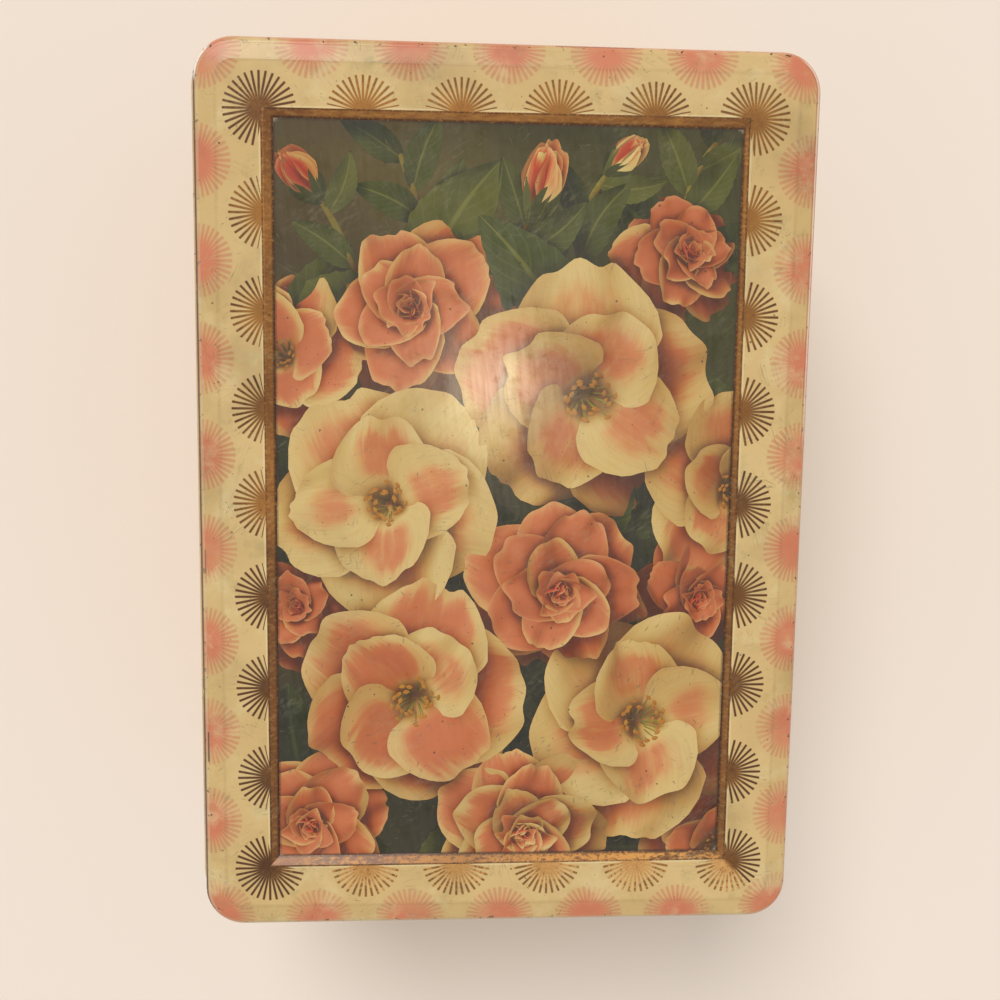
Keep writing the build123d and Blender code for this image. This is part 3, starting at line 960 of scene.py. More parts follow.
# Leaves that fan out from under each flower but the buds: how many, and their length and width at a
# flower's full size.
LEAVES_PER_FLOWER = 3
LEAF_LENGTH = 36.0
LEAF_WIDTH = 17.0

# The cup of pointed sepals that holds a bud, and the stamens of an open flower.
SEPALS = 4
SEPAL_LENGTH = 13.0
SEPAL_WIDTH = 7.5
SEPAL_SPREAD = 1.04         # how much wider than the bud's foot the cup is
STAMENS = 26
STAMEN_REACH = 6.0
STAMEN_HEIGHT = 7.0

# Leafy stems: foot, bend and tip (x, y, depth), how many leaves, and their length.
STEMS = (
    ((-34.0, 34.0, 4.0), (-38.0, 62.0, 6.0), (-50.0, 80.0, 6.0), 3, 24.0),
    ((0.0, 40.0, 5.0), (-4.0, 62.0, 8.0), (6.0, 76.0, 9.0), 4, 28.0),
    ((22.0, 56.0, 4.0), (14.0, 74.0, 5.0), (26.0, 88.0, 5.0), 3, 24.0),
    ((48.0, 70.0, 3.0), (44.0, 84.0, 4.0), (56.0, 98.0, 3.0), 4, 24.0),
    ((-20.0, 60.0, 3.0), (-22.0, 76.0, 4.0), (-30.0, 94.0, 3.0), 4, 24.0),
    ((-60.0, 2.0, 5.0), (-58.0, 14.0, 6.0), (-62.0, 22.0, 4.0), 3, 22.0),
)


def smooth(x, low, high):
    """0 under low, 1 over high and an even S between them, for arrays."""
    share = np.clip((x - low) / (high - low), 0.0, 1.0)
    return share * share * (3 - 2 * share)


def blade_grid(rows, columns):
    """The grid of a petal or leaf: u across from -1 to 1, and v from foot to tip."""
    return np.linspace(-1, 1, columns)[None, :], np.linspace(0, 1, rows)[:, None]


def surface_uv(u, v):
    """The u and v of every point of a grid, side by side."""
    return np.stack(np.broadcast_arrays(u, v), axis=-1)


def arc(length, rise, droop, share):
    """A line whose slope turns evenly from rise to droop: its slope, way out and height at a share of it."""
    first = np.radians(rise)
    turn = np.radians(droop - rise) + 1e-6
    slope = first + turn * share
    out = length * (np.sin(slope) - np.sin(first)) / turn
    up = length * (np.cos(first) - np.cos(slope)) / turn
    return slope, out, up


def petal(rng, length, width, rise, droop, cup, curl, ruffle, roll, rows=30, columns=26):
    """One petal in its own frame: outwards from the flower's axis, sideways and up.

    Its middle line is an arc. It reaches less far towards its sides, in a round end with shallow
    notches. It widens from a narrow foot, bends round the axis as much as cup says, lifts its edges by
    curl and waves towards its tip by ruffle, at right angles to itself. One side lies higher than the
    other by roll, so that the petals of a ring overlap in turn.
    """
    u, v = blade_grid(rows, columns)
    waves = rng.uniform(2.5, 7.5, 3)
    phases = rng.uniform(0, 2 * np.pi, 3)
    notch = 0.026 * np.sin(1.3 * waves[1] * u + phases[1]) + 0.012 * np.sin(2.9 * waves[2] * u + phases[2])
    reach = v * (1 - 0.13 * u**2 - 0.28 * u**6 + notch * (1 - 0.8 * u**4))
    slope, out, up = arc(length, rise, droop, reach)
    half = width / 2 * (0.20 + 0.80 * smooth(reach, 0.0, 0.62)) * (1 - 0.16 * smooth(reach, 0.7, 1.0))
    bend = np.maximum(np.abs(out), 0.3 * length) / cup
    side = bend * np.sin(u * half / bend)
    out = out - bend * (1 - np.cos(u * half / bend))
    wave = 0.6 * np.sin(waves[0] * u + phases[0]) + 0.4 * np.sin(waves[1] * u + 3 * reach + phases[2])
    lift = curl * half * u**2 * reach + ruffle * length * reach**2.5 * wave + roll * u * half
    frill = 0.020 * length * smooth(reach, 0.6, 1.0) * np.sin(1.7 * waves[2] * u + phases[1] + 2 * reach)
    lift = lift + frill
    points = np.stack([out - np.sin(slope) * lift, side, up + np.cos(slope) * lift], axis=-1)
    return points, surface_uv((u + 1) / 2, v)


def turned(points, degrees, axis):
    """Points turned about the x, y or z axis (0, 1 or 2)."""
    angle = np.radians(degrees)
    first, second = [(1, 2), (2, 0), (0, 1)][axis]
    result = points.copy()
    result[..., first] = np.cos(angle) * points[..., first] - np.sin(angle) * points[..., second]
    result[..., second] = np.sin(angle) * points[..., first] + np.cos(angle) * points[..., second]
    return result


def placed(points, size, tilt, spin, place):
    """A flower's points from its own frame into the picture."""
    points = turned(points * size, spin, 2)
    points = turned(points, tilt[0], 1)
    points = turned(points, -tilt[1], 0)
    return points + np.array(place)


def ring_petals(rng, rings, tone):
    """All petals of a flower, ring by ring, each ring set between the petals of the one below."""
    sheets = []
    lift = 0.0
    roll = rng.choice([-0.17, 0.17])
    for ring, (count, length, width, rise, droop, cup, curl, ruffle, step_up) in enumerate(rings):
        lift += 0.25 * step_up
        for index in range(count):
            azimuth = 360 * (index + 0.5 * ring) / count + rng.uniform(-7, 7)
            points, uv = petal(
                rng, length * rng.uniform(0.93, 1.07), width * rng.uniform(0.92, 1.08),
                rise + rng.uniform(-3, 3), droop + rng.uniform(-7, 7), cup, curl, ruffle, roll
            )
            points = points + np.array([0.0, 0.0, lift])
            petal_tone = np.clip(tone + rng.uniform(-0.16, 0.16) + 0.03 * ring, 0, 1)
            sheets.append((turned(points, azimuth, 2), uv, petal_tone))
    return sheets


def tube(start, end, radius_start, radius_end, bulge=0.0, rows=7, columns=7):
    """A closed-looking stalk between two points, its radius running evenly or swelling by bulge."""
    v = np.linspace(0, 1, rows)[:, None]
    angle = np.linspace(0, 2 * np.pi, columns)[None, :]
    start, end = np.array(start), np.array(end)
    axis = (end - start) / np.linalg.norm(end - start)
    side = np.cross(axis, [0.31, 0.87, 0.38])
    side = side / np.linalg.norm(side)
    other = np.cross(axis, side)
    radius = radius_start + (radius_end - radius_start) * v + bulge * np.sin(np.pi * v)
    ring = np.cos(angle)[..., None] * side + np.sin(angle)[..., None] * other
    points = start + v[..., None] * (end - start) + radius[..., None] * ring
    return points, surface_uv(angle / (2 * np.pi), v)


def stamens(rng):
    """Thin stalks that fan out from a flower's middle, and the anthers at their ends."""
    stalks, anthers = [], []
    for index in range(STAMENS):
        angle = 2 * np.pi * index / STAMENS + rng.uniform(-0.2, 0.2)
        out = STAMEN_REACH * rng.uniform(0.35, 1.0)
        height = STAMEN_HEIGHT * rng.uniform(0.8, 1.2)
        tip = np.array([out * np.cos(angle), out * np.sin(angle), height])
        foot = np.array([0.6 * np.cos(angle), 0.6 * np.sin(angle), 1.0])
        stalks.append((*tube(foot, tip, 0.22, 0.16), 0.0))
        along = np.array([np.cos(angle + 1.2), np.sin(angle + 1.2), 0.2])
        anthers.append((*tube(tip - along * 0.8, tip + along * 0.8, 0.05, 0.05, 0.45), 1.0))
    return stalks, anthers


def leaf(rng, length, width, rise, droop, rows=34, columns=15):
    """A pointed leaf with a finely toothed edge, its middle line an arc that also bends sideways.

    It is folded up along its midrib, and waves slowly from foot to tip.
    """
    u, v = blade_grid(rows, columns)
    _, out, up = arc(length, rise, droop, v)
    outline = np.sin(np.pi * (0.02 + 0.97 * v) ** 0.8) ** 0.8
    half = width / 2 * outline * (1 + 0.03 * np.sin(60 * v) * np.abs(u))
    up = up + 0.35 * half * np.abs(u) + 0.05 * length * np.sin(7 * v + rng.uniform(0, 6)) * u**2
    bend = 0.10 * length * np.sin(np.pi * v) * rng.uniform(-1, 1)
    points = np.stack(np.broadcast_arrays(out, u * half + bend, up), axis=-1)
    return points, surface_uv((u + 1) / 2, v)


def fan_leaves(rng):
    """The leaves under the flowers, each a little lower than the last."""
    leaves = []
    for number, (kind, (x, y, depth), size, *_) in enumerate(FLOWERS):
        for index in range(0 if kind == "bud" else LEAVES_PER_FLOWER):
            length = LEAF_LENGTH * size * rng.uniform(0.8, 1.15)
            width = LEAF_WIDTH * size * rng.uniform(0.8, 1.2)
            points, uv = leaf(rng, length, width, rng.uniform(8, 26), rng.uniform(-24, -4))
            heading = 360 * (index + 0.37 * number) / LEAVES_PER_FLOWER + rng.uniform(-25, 25)
            foot = np.array([4.0, 0.0, 0.25 * depth + 0.4 * index])
            points = turned(points + foot, heading, 2) + np.array([x, y, 0.0])
            leaves.append((points, uv, rng.uniform(0, 1)))
    return leaves


def stem_point(share, foot, bend, tip):
    """A point on the stem's curve, a parabola from foot to tip that its bend pulls aside."""
    foot, bend, tip = (np.array(point) for point in (foot, bend, tip))
    return foot * (1 - share) ** 2 + bend * 2 * share * (1 - share) + tip * share**2


def leafy_stems(rng):
    """The stems as tubes that taper along their curves, and leaves that leave them by turns."""
    stems, leaves = [], []
    for foot, bend, tip, count, length in STEMS:
        share = np.linspace(0, 1, 26)[:, None]
        middle = stem_point(share, foot, bend, tip)
        ahead = np.gradient(middle, axis=0)
        ahead = ahead / np.linalg.norm(ahead, axis=1, keepdims=True)
        side = np.cross(ahead, [0.0, 0.0, 1.0])
        side = side / np.linalg.norm(side, axis=1, keepdims=True)
        up = np.cross(side, ahead)
        angle = np.linspace(0, np.pi, 9)[None, :, None]
        radius = (1.3 - 0.5 * share)[:, None, :]
        points = middle[:, None] + radius * (np.cos(angle) * side[:, None] + np.sin(angle) * up[:, None])
        stems.append((points, surface_uv(angle[..., 0] / np.pi, share), 0.3))
        for index in range(count):
            share_here = 0.25 + 0.65 * index / max(count - 1, 1)
            root = stem_point(share_here, foot, bend, tip)
            onward = stem_point(share_here + 0.02, foot, bend, tip) - root
            heading = np.degrees(np.arctan2(onward[1], onward[0])) + (42 if index % 2 else -42)
            size = length * (1.05 - 0.35 * share_here) * rng.uniform(0.9, 1.1)
            blade, uv = leaf(rng, size, 0.42 * size, rng.uniform(10, 24), rng.uniform(-22, -6))
            blade = turned(blade, heading + rng.uniform(-10, 10), 2) + root
            leaves.append((blade, uv, rng.uniform(0, 1)))
    return stems, leaves


def sepals(rng, size, tilt, spin, place):
    """The green cup that holds a bud: short pointed leaves round its foot."""
    cup = []
    for index in range(SEPALS):
        points, uv = leaf(rng, SEPAL_LENGTH, SEPAL_WIDTH, 62, 88, rows=18, columns=9)
        points = turned(points + np.array([1.2, 0.0, -1.5]), 360 * index / SEPALS + 20, 2)
        cup.append((placed(points * SEPAL_SPREAD, size, tilt, spin, place), uv, 0.8))
    return cup


def make_bouquet():
    """Every surface of the bouquet: name, kind of finish and its sheets (points, uv, tone)."""
    rng = np.random.default_rng(BOUQUET_SEED)
    rings = {"open": OPEN_RINGS, "double": DOUBLE_RINGS, "bud": BUD_RINGS}
    bouquet = []
    for number, (kind, place, size, tilt, spin, tone) in enumerate(FLOWERS, start=1):
        set_down = (size, tilt, spin, place)
        petals = [(placed(p, *set_down), uv, t) for p, uv, t in ring_petals(rng, rings[kind], tone)]
        bouquet.append((f"picture_{kind}_flower_{number}", "petal", petals))
        if kind == "open":
            for finish, sheets in zip(("stalk", "anther"), stamens(rng)):
                sheets = [(placed(p, *set_down), uv, t) for p, uv, t in sheets]
                bouquet.append((f"picture_{finish}s_{number}", finish, sheets))
        if kind == "bud":
            bouquet.append((f"picture_sepals_{number}", "leaf", sepals(rng, size, tilt, spin, place)))
    stems, leaves = leafy_stems(rng)
    bouquet.append(("picture_stems", "stalk", stems))
    bouquet.append(("picture_leaves", "leaf", fan_leaves(rng) + leaves))
    return bouquet


def height_map(bouquet):
    """Depth of the bouquet's topmost surface over a grid of cells, with gaps between samples closed."""
    columns = int(PICTURE_WIDTH / GRAIN) + 1
    rows = int(PICTURE_LENGTH / GRAIN) + 1
    heights = np.zeros((rows, columns))
    for _, _, sheets in bouquet:
        for points, _, _ in sheets:
            x = np.round((points[..., 0] + PICTURE_WIDTH / 2) / GRAIN).astype(int)
            y = np.round((points[..., 1] + PICTURE_LENGTH / 2) / GRAIN).astype(int)
            inside = (x >= 0) & (x < columns) & (y >= 0) & (y < rows)
            np.maximum.at(heights, (y[inside], x[inside]), points[..., 2][inside])
    for axis in (0, 1):
        near = np.maximum(np.roll(heights, 1, axis), np.roll(heights, -1, axis))
        heights = np.maximum(heights, np.where(heights < near - 2, near - 0.5, heights))
    return heights


def blurred(heights, radius):
    """The map smoothed by a bell curve of the given radius in millimetres."""
    reach = int(3 * radius / GRAIN)
    offsets = np.arange(-reach, reach + 1) * GRAIN
    bell = np.exp(-0.5 * (offsets / radius) ** 2)
    bell = bell / bell.sum()
    padded = np.pad(heights, reach, mode="edge")
    rows = np.apply_along_axis(np.convolve, 0, padded, bell, "valid")
    return np.apply_along_axis(np.convolve, 1, rows, bell, "valid")


def looked_up(heights, x, y):
    """The map's value at points, by nearest cell."""
    column = np.clip(np.round((x + PICTURE_WIDTH / 2) / GRAIN).astype(int), 0, heights.shape[1] - 1)
    row = np.clip(np.round((y + PICTURE_LENGTH / 2) / GRAIN).astype(int), 0, heights.shape[0] - 1)
    return heights[row, column]


HOLLOW_RADII = (1.5, 4.0, 9.0)      # how far round a point its surroundings close off the sky
SHADOW_SOFTNESS = (0.5, 1.0, 1.8)   # how blurred what casts a shadow is, from near to far
SHADOW_STEP = 0.7
SHADOW_STEPS = 24


def make_shading(heights):
    """A function that says how brightly the picture's light falls on points, and which side they show.

    A point is darker the lower it lies than the map's averages round it, and where the blurred map, seen
    in steps towards the sun, stands above the ray to it. A petal also lets light through from behind.
    """
    averages = [(radius, blurred(heights, radius)) for radius in HOLLOW_RADII]
    softened = [blurred(heights, radius) for radius in SHADOW_SOFTNESS]

    def shading(points, normals):
        x, y, z = points[..., 0], points[..., 1], points[..., 2]
        if not z.any():     # the ground, which lies too far back for any but the broadest shadow
            return 1 - 0.5 * smooth(looked_up(averages[-1][1], x, y), 2.0, 22.0), np.ones_like(z)
        open_sky = np.ones_like(z)
        for radius, average in averages:
            above = looked_up(average, x, y) - z
            open_sky = open_sky * (1 - 0.55 * smooth(above, 0.15 * radius, 1.6 * radius + 1.0))
        blocked = np.zeros_like(z)
        for index in range(1, SHADOW_STEPS + 1):
            travel = SHADOW_STEP * index
            level = softened[min(index // 8, 2)]
            over = looked_up(level, x + SUN[0] * travel, y + SUN[1] * travel) - (z + SUN[2] * travel)
            blocked = np.maximum(blocked, smooth(over, 0.4, 2.5 + 0.15 * index))
        toward = normals @ (SUN / np.linalg.norm(SUN))
        front = np.sign(normals[..., 2] + 1e-9)
        diffuse = np.clip((toward * front + 0.25) / 1.25, 0, 1)
        through = 0.30 * np.clip(-toward * front, 0, 1)
        light = 0.32 * open_sky + (0.86 * diffuse + through) * (1 - 0.8 * blocked) * (0.5 + 0.5 * open_sky)
        return np.clip(light * (0.72 + 0.28 * smooth(z, 2.0, 26.0)), 0, 1.2), front

    return shading


def grid_normals(points):
    """Unit normals of a grid of points, from its slopes along rows and columns."""
    normals = np.cross(np.gradient(points, axis=1), np.gradient(points, axis=0))
    return normals / np.maximum(np.linalg.norm(normals, axis=-1, keepdims=True), 1e-9)


def grid_faces(rows, columns, first):
    """Quads of a grid whose points are numbered row by row from first."""
    index = np.arange(rows * columns).reshape(rows, columns) + first
    return np.stack([index[:-1, :-1], index[:-1, 1:], index[1:, 1:], index[1:, :-1]], axis=-1).reshape(-1, 4)


def cut_at_panel(mesh):
    """Trims a mesh straight along the panel's four sides."""
    work = bmesh.new()
    work.from_mesh(mesh)
    for axis, limit in ((0, PICTURE_WIDTH / 2), (1, PICTURE_LENGTH / 2)):
        for side in (-1, 1):
            outward = Vector((0.0, 0.0, 0.0))
            outward[axis] = side
            everything = work.verts[:] + work.edges[:] + work.faces[:]
            bmesh.ops.bisect_plane(
                work, geom=everything, plane_co=outward * limit * MM, plane_no=outward, clear_outer=True
            )
    work.to_mesh(mesh)
    work.free()


def evened(values):
    """A grid of values, each averaged with its neighbours along rows and columns."""
    for axis in (0, 1):
        padded = np.pad(values, [(1, 1) if one == axis else (0, 0) for one in (0, 1)], mode="edge")
        size = values.shape[axis]
        first, middle, last = (np.take(padded, np.arange(size) + shift, axis) for shift in (0, 1, 2))
        values = 0.25 * first + 0.5 * middle + 0.25 * last
    return values


def add_print(name, sheets, shading, material):
    """Presses sheets into the panel, cuts them at its edge and paints them with their light."""
    points, uvs, paints, faces = [], [], [], []
    first = 0
    for grid, uv, tone in sheets:
        light, front = shading(grid, grid_normals(grid))
        light = evened(evened(evened(light)))
        rows, columns = light.shape
        points.append(grid.reshape(-1, 3))
        uvs.append(uv.reshape(-1, 2))
        paint = [light, np.full_like(light, tone), 0.5 + 0.5 * front, np.ones_like(light)]
        paints.append(np.stack(paint, axis=-1).reshape(-1, 4))
        faces.append(grid_faces(rows, columns, first))
        first += rows * columns
    points, uvs, paints, faces = map(np.concatenate, (points, uvs, paints, faces))
    points = np.column_stack([points[:, :2], PICTURE_LEVEL + LAYER + PRESS * points[:, 2]])

    # Every quad faces the viewer, also where a petal shows its back.
    a, b, c, d = (points[faces[:, corner], :2] for corner in range(4))
    clockwise = np.cross(c - a, d - b) < 0
    faces[clockwise] = faces[clockwise][:, ::-1]

    mesh = bpy.data.meshes.new(name)
    mesh.from_pydata((points * MM).tolist(), [], faces.tolist())
    layer = mesh.uv_layers.new(name="along")
    layer.data.foreach_set("uv", uvs[faces.ravel()].astype(np.float32).ravel())
    paint = mesh.color_attributes.new("paint", "FLOAT_COLOR", "POINT")
    paint.data.foreach_set("color", paints.astype(np.float32).ravel())
    cut_at_panel(mesh)
    mesh.polygons.foreach_set("use_smooth", np.ones(len(mesh.polygons), bool))
    mesh.normals_split_custom_set_from_vertices([(0.0, 0.0, 1.0)] * len(mesh.vertices))
    mesh.materials.append(material)
    piece = bpy.data.objects.new(name, mesh)
    bpy.context.scene.collection.objects.link(piece)
    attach(piece, "lid")
    return piece


# What a printed colour is multiplied by, from full shade to full light: warm on petals, green on leaves.
PETAL_SHADES = (
    (0.0, srgb(44, 28, 14)), (0.22, srgb(116, 80, 44)), (0.50, srgb(186, 156, 106)),
    (0.78, srgb(208, 192, 150)), (1.0, srgb(220, 210, 176)),
)
GREEN_SHADES = (
    (0.0, srgb(46, 48, 30)), (0.25, srgb(110, 112, 78)), (0.60, srgb(190, 186, 148)),
    (1.0, srgb(232, 226, 196)),
)

# What petals are printed in, from pale to deep coral.
PETAL_FLAME = (
    (0.0, srgb(242, 232, 180)), (0.30, srgb(242, 206, 154)), (0.60, srgb(234, 138, 98)),
    (1.0, srgb(218, 78, 50)),
)


def make_picture_age_group():
    """The picture's age: grime, rubs, scratches and pale dust in its corners, and painted shade along the
    recess's edge, broken in patches.

    Its varnish is uneven: brushed in lines from end to end, and worn thin in clouds.
    """
    tree, g, given, result = node_group(
        "picture age",
        (("Position", "Vector", None), ("Color", "Color", None)),
        (("Color", "Color"), ("Roughness", "Float"), ("Height", "Float"), ("Varnish", "Float")),
    )
    position = given["Position"]
    wear = g.use(WEAR, Position=position)
    x, y, _ = g.parts(position)
    from_side = PICTURE_WIDTH / 2 - abs(x)
    from_end = PICTURE_LENGTH / 2 - abs(y)
    dirt_and_shade = g.noise(position, 1.1, 3.0, 0.7)
    # painted shade along the recess's edge, broken in patches
    edge = g.fade(g.math("MINIMUM", from_side, from_end), 0.15, 0.75) * g.step(dirt_and_shade, 0.25, 0.50)
    dust = g.fade(from_side + from_end + dirt_and_shade * 3.0, 1.6, 3.4)
    nicked = wear["Nick"] * (0.12 + 0.38 * g.fade(y, -40.0, 20.0))      # more so in the near half
    color = g.layers(
        g.darkened(wear["Grime"] * 0.22, given["Color"], GRIME_AND_SHADE),
        (wear["Scuff"] * 0.16, srgb(172, 168, 130)),
        (wear["Scratch"] * 0.50, srgb(104, 98, 70)),
        (nicked, srgb(98, 94, 72)),
        (wear["Speck"] * 0.75, srgb(52, 40, 26)),
        (edge * 0.65, srgb(44, 28, 16)),
        (dust * 0.7, srgb(156, 140, 118)),
    )
    brushed = g.noise(g.drawn_out(position, (1.6, 14.0, 5.0), 0.12), 1.0, 5.0, 0.65)
    clouded = g.noise(position, 0.14, 4.0, 0.65)
    varnish = 0.80 - 0.30 * g.step(brushed, 0.35, 0.70) - 0.35 * g.step(clouded, 0.46, 0.68)
    g.feed_all(
        result,
        Color=color,
        Roughness=0.38 + 0.15 * wear["Scratch"] + 0.10 * wear["Scuff"],
        Height=wear["Grain"] * 0.004 - wear["Scratch"] * 0.01 - wear["Scuff"] * 0.004,
        Varnish=g.either(varnish - 0.3 * wear["Nick"], 0.05),
    )
    return tree


PICTURE_AGE = make_picture_age_group()


def finish_print(g, position, color, light, shades=PETAL_SHADES):
    """Lights and ages a printed colour and gives it the picture's thick varnish."""
    color = g.darkened(1.0, color, g.ramp(light, *shades))
    aged = g.use(PICTURE_AGE, Position=position, Color=color)
    finish_material(
        g, Base_Color=aged["Color"], Roughness=aged["Roughness"], Normal=bump(g, aged["Height"]),
        Specular_IOR_Level=0.3, Coat_Weight=aged["Varnish"], Coat_Roughness=0.17
    )


def print_inputs(g):
    """What the picture's materials start from: position, u, v, light, tone, and 1 where a front shows."""
    u, v, _ = g.parts(g.value(g.node("ShaderNodeUVMap", uv_map="along")))
    paint = g.node("ShaderNodeAttribute", attribute_name="paint")
    split = g.node("ShaderNodeSeparateColor", {"Color": g.value(paint, "Color")})
    light, tone, front = (g.value(split, name) for name in ("Red", "Green", "Blue"))
    return g.position(), u, v, light, tone, front


def petal_material():
    """Cream petals flamed with coral: fine streaks run from foot to tip, the margins are paler."""
    material, g = new_material("petal_print")
    position, u, v, light, tone, front = print_inputs(g)
    across = abs(u - 0.5) * 2.0
    streak = g.noise(g.vector(u * 16.0, v * 1.2, tone * 40.0), 1.0, 4.0, 0.6)
    broad = g.noise(g.vector(u * 2.4, v * 1.5, tone * 23.0), 1.0, 2.0, 0.5)
    tongue = g.fade(across + (streak - 0.5) * 0.7, 0.25, 0.95) * g.step(v, 0.10, 0.50)
    tongue = tongue * g.fade(v + (streak - 0.5) * 0.5, 0.70, 1.10)
    flame = tone * 1.25 + tongue * 0.72 + broad * 0.9 + (streak - 0.5) * 0.6 - 1.08
    margin = g.either(g.step(across, 0.80, 1.0), g.step(v, 0.90, 1.0))
    veins = g.near(g.noise(g.vector(u * 34.0, v, tone * 11.0), 1.0, 2.0), 0.5, 0.0, 0.05)
    color = g.layers(
        g.ramp(g.step(flame, 0.0, 0.85), *PETAL_FLAME),
        (margin * 0.30, srgb(250, 226, 184)),
        (g.fade(v, 0.08, 0.40) * 0.7, srgb(228, 206, 122)),
        (veins * 0.14, srgb(196, 110, 76)),
        (g.fade(front, 0.3, 0.6) * 0.35, srgb(236, 190, 148)),
    )
    finish_print(g, position, color, light)
    return material


def leaf_material():
    """Olive leaves with a pale midrib and side veins."""
    material, g = new_material("leaf_print")
    position, u, v, light, tone, _ = print_inputs(g)
    rib = g.near(u, 0.5, 0.015, 0.05)
    side_veins = g.near(g.math("FRACT", v * 9.0 - abs(u - 0.5) * 5.0), 0.5, 0.02, 0.12)
    color = g.layers(
        srgb(72, 84, 36),
        (tone, srgb(116, 118, 52)),
        (g.noise(position, 0.12, 3.0) * 0.6, srgb(58, 72, 36)),
        (g.either(rib * 0.45, side_veins * 0.12), srgb(160, 160, 92)),
    )
    finish_print(g, position, color, light, GREEN_SHADES)
    return material


def plain_print_material(name, first, second):
    """Stalks and anthers: one ink that varies a little along the piece."""
    material, g = new_material(name)
    position, _, _, light, _, _ = print_inputs(g)
    finish_print(g, position, g.mix(g.noise(position, 0.8, 2.0), first, second), light)
    return material


LIGHT_OVAL = (-12.0, 82.0)          # middle of the ground's lighter place
LIGHT_OVAL_SIZE = (40.0, 24.0)


def ground_material():
    """The picture's out-of-focus ground: brown to the left and olive to the right, in soft clouds.

    It is lighter in an oval near the far end, and nearly black towards the near one.
    """
    material, g = new_material("ground_print")
    position, _, _, light, _, _ = print_inputs(g)
    x, y, _ = g.parts(position)
    oval_x = (x - LIGHT_OVAL[0]) / LIGHT_OVAL_SIZE[0]
    oval_y = (y - LIGHT_OVAL[1]) / LIGHT_OVAL_SIZE[1]
    oval = g.fade(g.math("SQRT", oval_x * oval_x + oval_y * oval_y), 0.1, 1.3)
    color = g.layers(
        srgb(69, 56, 25),
        (g.step(g.noise(position, 0.022, 2.0, 0.4, 0.6), 0.35, 0.7), srgb(89, 74, 35)),
        (g.step(x, -35.0, 25.0) * 0.8, srgb(62, 66, 26)),
        (g.step(g.noise(position, 0.10, 3.0, 0.6), 0.52, 0.66) * 0.35, srgb(48, 44, 26)),
        (oval * 0.45, srgb(116, 106, 58)),
        (g.fade(y, -90.0, 40.0) * 0.75, srgb(48, 50, 30)),
    )
    finish_print(g, position, color, light, GREEN_SHADES)
    return material


def make_ground():
    """A flat grid over the panel, fine enough to carry the bouquet's shadows."""
    x = np.linspace(-0.5, 0.5, 160)[None, :] * PICTURE_WIDTH
    y = np.linspace(-0.5, 0.5, 260)[:, None] * PICTURE_LENGTH
    points = np.stack(np.broadcast_arrays(x, y, 0.0), axis=-1)
    return [(points, surface_uv(x / PICTURE_WIDTH + 0.5, y / PICTURE_LENGTH + 0.5), 0.0)]


def add_picture():
    """The bouquet and its ground, shaded as one."""
    bouquet = make_bouquet()
    shading = make_shading(height_map(bouquet))
    materials = {
        "petal": petal_material(),
        "leaf": leaf_material(),
        "stalk": plain_print_material("stalk_print", srgb(176, 172, 84), srgb(132, 136, 62)),
        "anther": plain_print_material("anther_print", srgb(232, 176, 70), srgb(176, 104, 40)),
    }
    for name, finish, sheets in bouquet:
        add_print(name, sheets, shading, materials[finish])
    add_print("picture_ground", make_ground(), shading, ground_material())


# ---------------------------------------------------------------- light, floor and camera

CAMERA_PLACE = (-24.2, 46.4, 449.1)
CAMERA_TARGET = (-1.6, 0.8, LID_TOP)
CAMERA_ROLL = 0.84          # degrees
FOCAL_SHARE = 1.255         # focal length as a share of the picture's width
SENSOR = 36.0

FLOOR_SIZE = 6000.0
FLOOR_COLOR = srgb(242, 229, 218)
FLOOR_SHADE = srgb(238, 225, 214)
KEY_TOWARD = (-0.23, 0.58, 0.78)
KEY_DISTANCE = 2000.0
KEY_SPREAD = 28.0           # degrees across
KEY_STRENGTH = 1.60
KEY_COLOR = (1.0, 0.99, 0.97)
GLINT_PLACE = (73.0, -20.0, 1312.0)     # mirrored in the varnish, a little above the middle of the lid
GLINT_SIZE = 36.0
GLINT_POWER = 0.80
GLINT_COLOR = (1.0, 0.92, 0.66)
SKY_STRENGTH = 0.58
SKY_COLOR = (1.0, 0.985, 0.96, 1.0)
BACKDROP_COLOR = srgb(240, 230, 220)    # what the camera and reflections see past the floor


def look_at(thing, place, target, roll=0.0):
    """Puts a lamp or the camera at place, facing target, with +Y up in its view, then rolled."""
    ahead = (Vector(target) - Vector(place)).normalized()
    right = ahead.cross(Vector((0.0, 1.0, 0.0))).normalized()
    axes = Matrix((right, right.cross(ahead), -ahead)).transposed()
    turn = axes @ Matrix.Rotation(math.radians(roll), 3, "Z")
    thing.matrix_world = Matrix.Translation(Vector(place) * MM) @ turn.to_4x4()


def add_lamp(name, kind, place, strength, color, **settings):
    """A lamp at place that faces the middle of the lid."""
    lamp = bpy.data.lights.new(name, kind)
    lamp.energy = strength
    lamp.color = color
    for setting, value in settings.items():
        setattr(lamp, setting, value)
    thing = bpy.data.objects.new(name, lamp)
    bpy.context.scene.collection.objects.link(thing)
    look_at(thing, place, (0.0, 0.0, LID_TOP))


def add_lamps():
    """A broad key light from the far left, and a small lamp that glints in the varnish."""
    key_place = [KEY_DISTANCE * part for part in KEY_TOWARD]
    add_lamp("key", "SUN", key_place, KEY_STRENGTH, KEY_COLOR, angle=math.radians(KEY_SPREAD))
    add_lamp("glint", "AREA", GLINT_PLACE, GLINT_POWER, GLINT_COLOR, shape="DISK", size=GLINT_SIZE * MM)


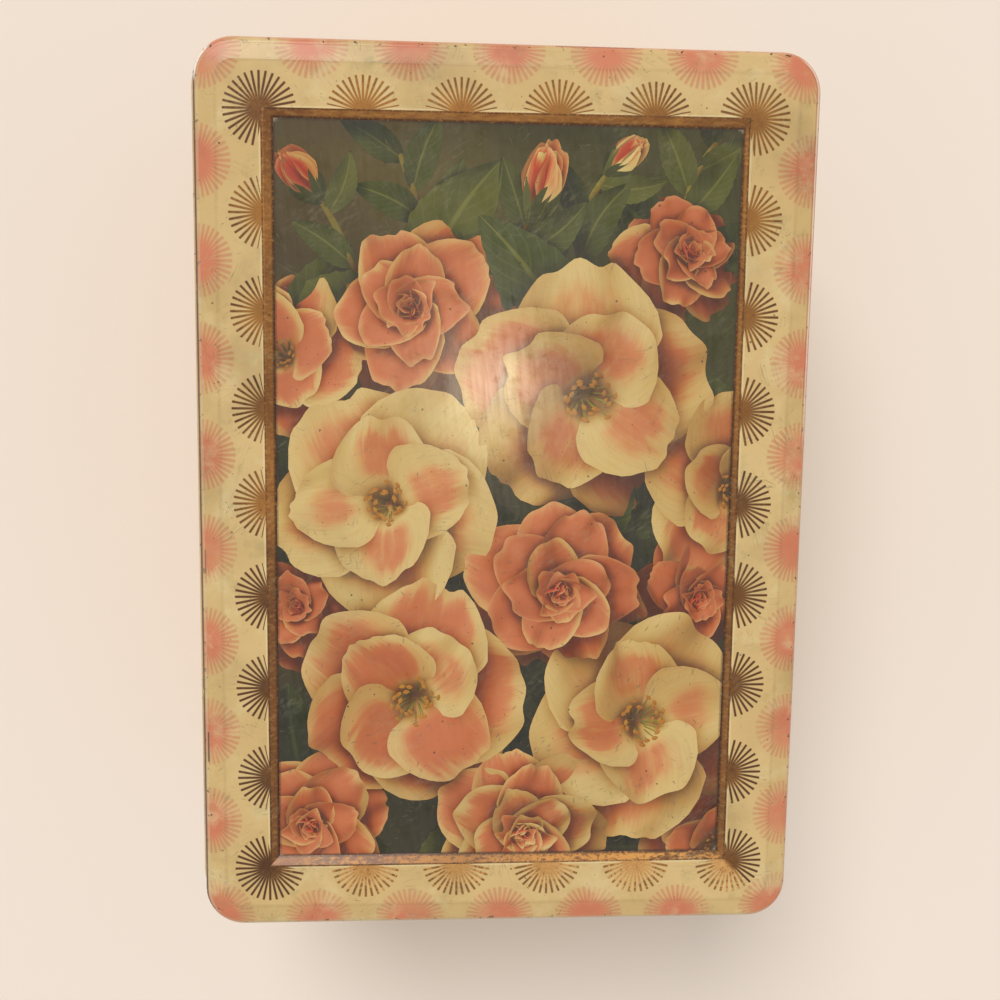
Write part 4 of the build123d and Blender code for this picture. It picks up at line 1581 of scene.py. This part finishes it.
def add_camera():
    """The camera, over the lid and a little to the hinge's side of it."""
    camera = bpy.data.cameras.new("camera")
    camera.sensor_width = SENSOR
    camera.lens = FOCAL_SHARE * SENSOR
    camera.clip_start = 0.01
    thing = bpy.data.objects.new("camera", camera)
    bpy.context.scene.collection.objects.link(thing)
    look_at(thing, CAMERA_PLACE, CAMERA_TARGET, CAMERA_ROLL)
    bpy.context.scene.camera = thing


def add_floor():
    """A plain pale floor under the box."""
    half = FLOOR_SIZE / 2 * MM
    corners = [(-half, -half, 0), (half, -half, 0), (half, half, 0), (-half, half, 0)]
    mesh = bpy.data.meshes.new("floor")
    mesh.from_pydata(corners, [], [(0, 1, 2, 3)])
    floor = bpy.data.objects.new("floor", mesh)
    bpy.context.scene.collection.objects.link(floor)
    material, g = new_material("floor_paint")
    color = g.mix(g.noise(g.position(), 0.004, 2.0), FLOOR_COLOR, FLOOR_SHADE)
    finish_material(g, Base_Color=color, Roughness=0.85)
    mesh.materials.append(material)


def add_sky():
    """An even soft light from all round, which the camera and reflections see as a pale backdrop."""
    world = bpy.data.worlds.new("sky")
    bpy.context.scene.world = world
    world.use_nodes = True
    background = world.node_tree.nodes["Background"]
    g = Graph(world.node_tree)
    rays = g.node("ShaderNodeLightPath")
    seen = g.either(*[g.value(rays, f"Is {kind} Ray") for kind in ("Camera", "Glossy", "Transmission")])
    g.feed(background.inputs["Color"], g.mix(seen, SKY_COLOR, BACKDROP_COLOR))
    g.feed(background.inputs["Strength"], seen * (1.0 - SKY_STRENGTH) + SKY_STRENGTH)


def finish_solids():
    """Gives each solid its finish."""
    lacquered = bare_metal_material("lacquered_tin", LACQUER, LACQUER_DULL, 0.36)
    steel = bare_metal_material("dull_steel", STEEL, STEEL_DULL, 0.38)
    finishes = {
        "lid_shell": lid_material(),
        "body_wall": body_material(),
        "base_panel": lacquered,
        "hinge_strap_left": lacquered,
        "hinge_strap_right": lacquered,
        "hinge_wire": steel,
        "hinge_rivets": steel,
    }
    for node, material in finishes.items():
        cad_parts[node].data.materials[0] = material


add_camera()
add_floor()
add_sky()
add_lamps()
bpy.context.scene.view_settings.view_transform = "Standard"
finish_solids()
add_picture()
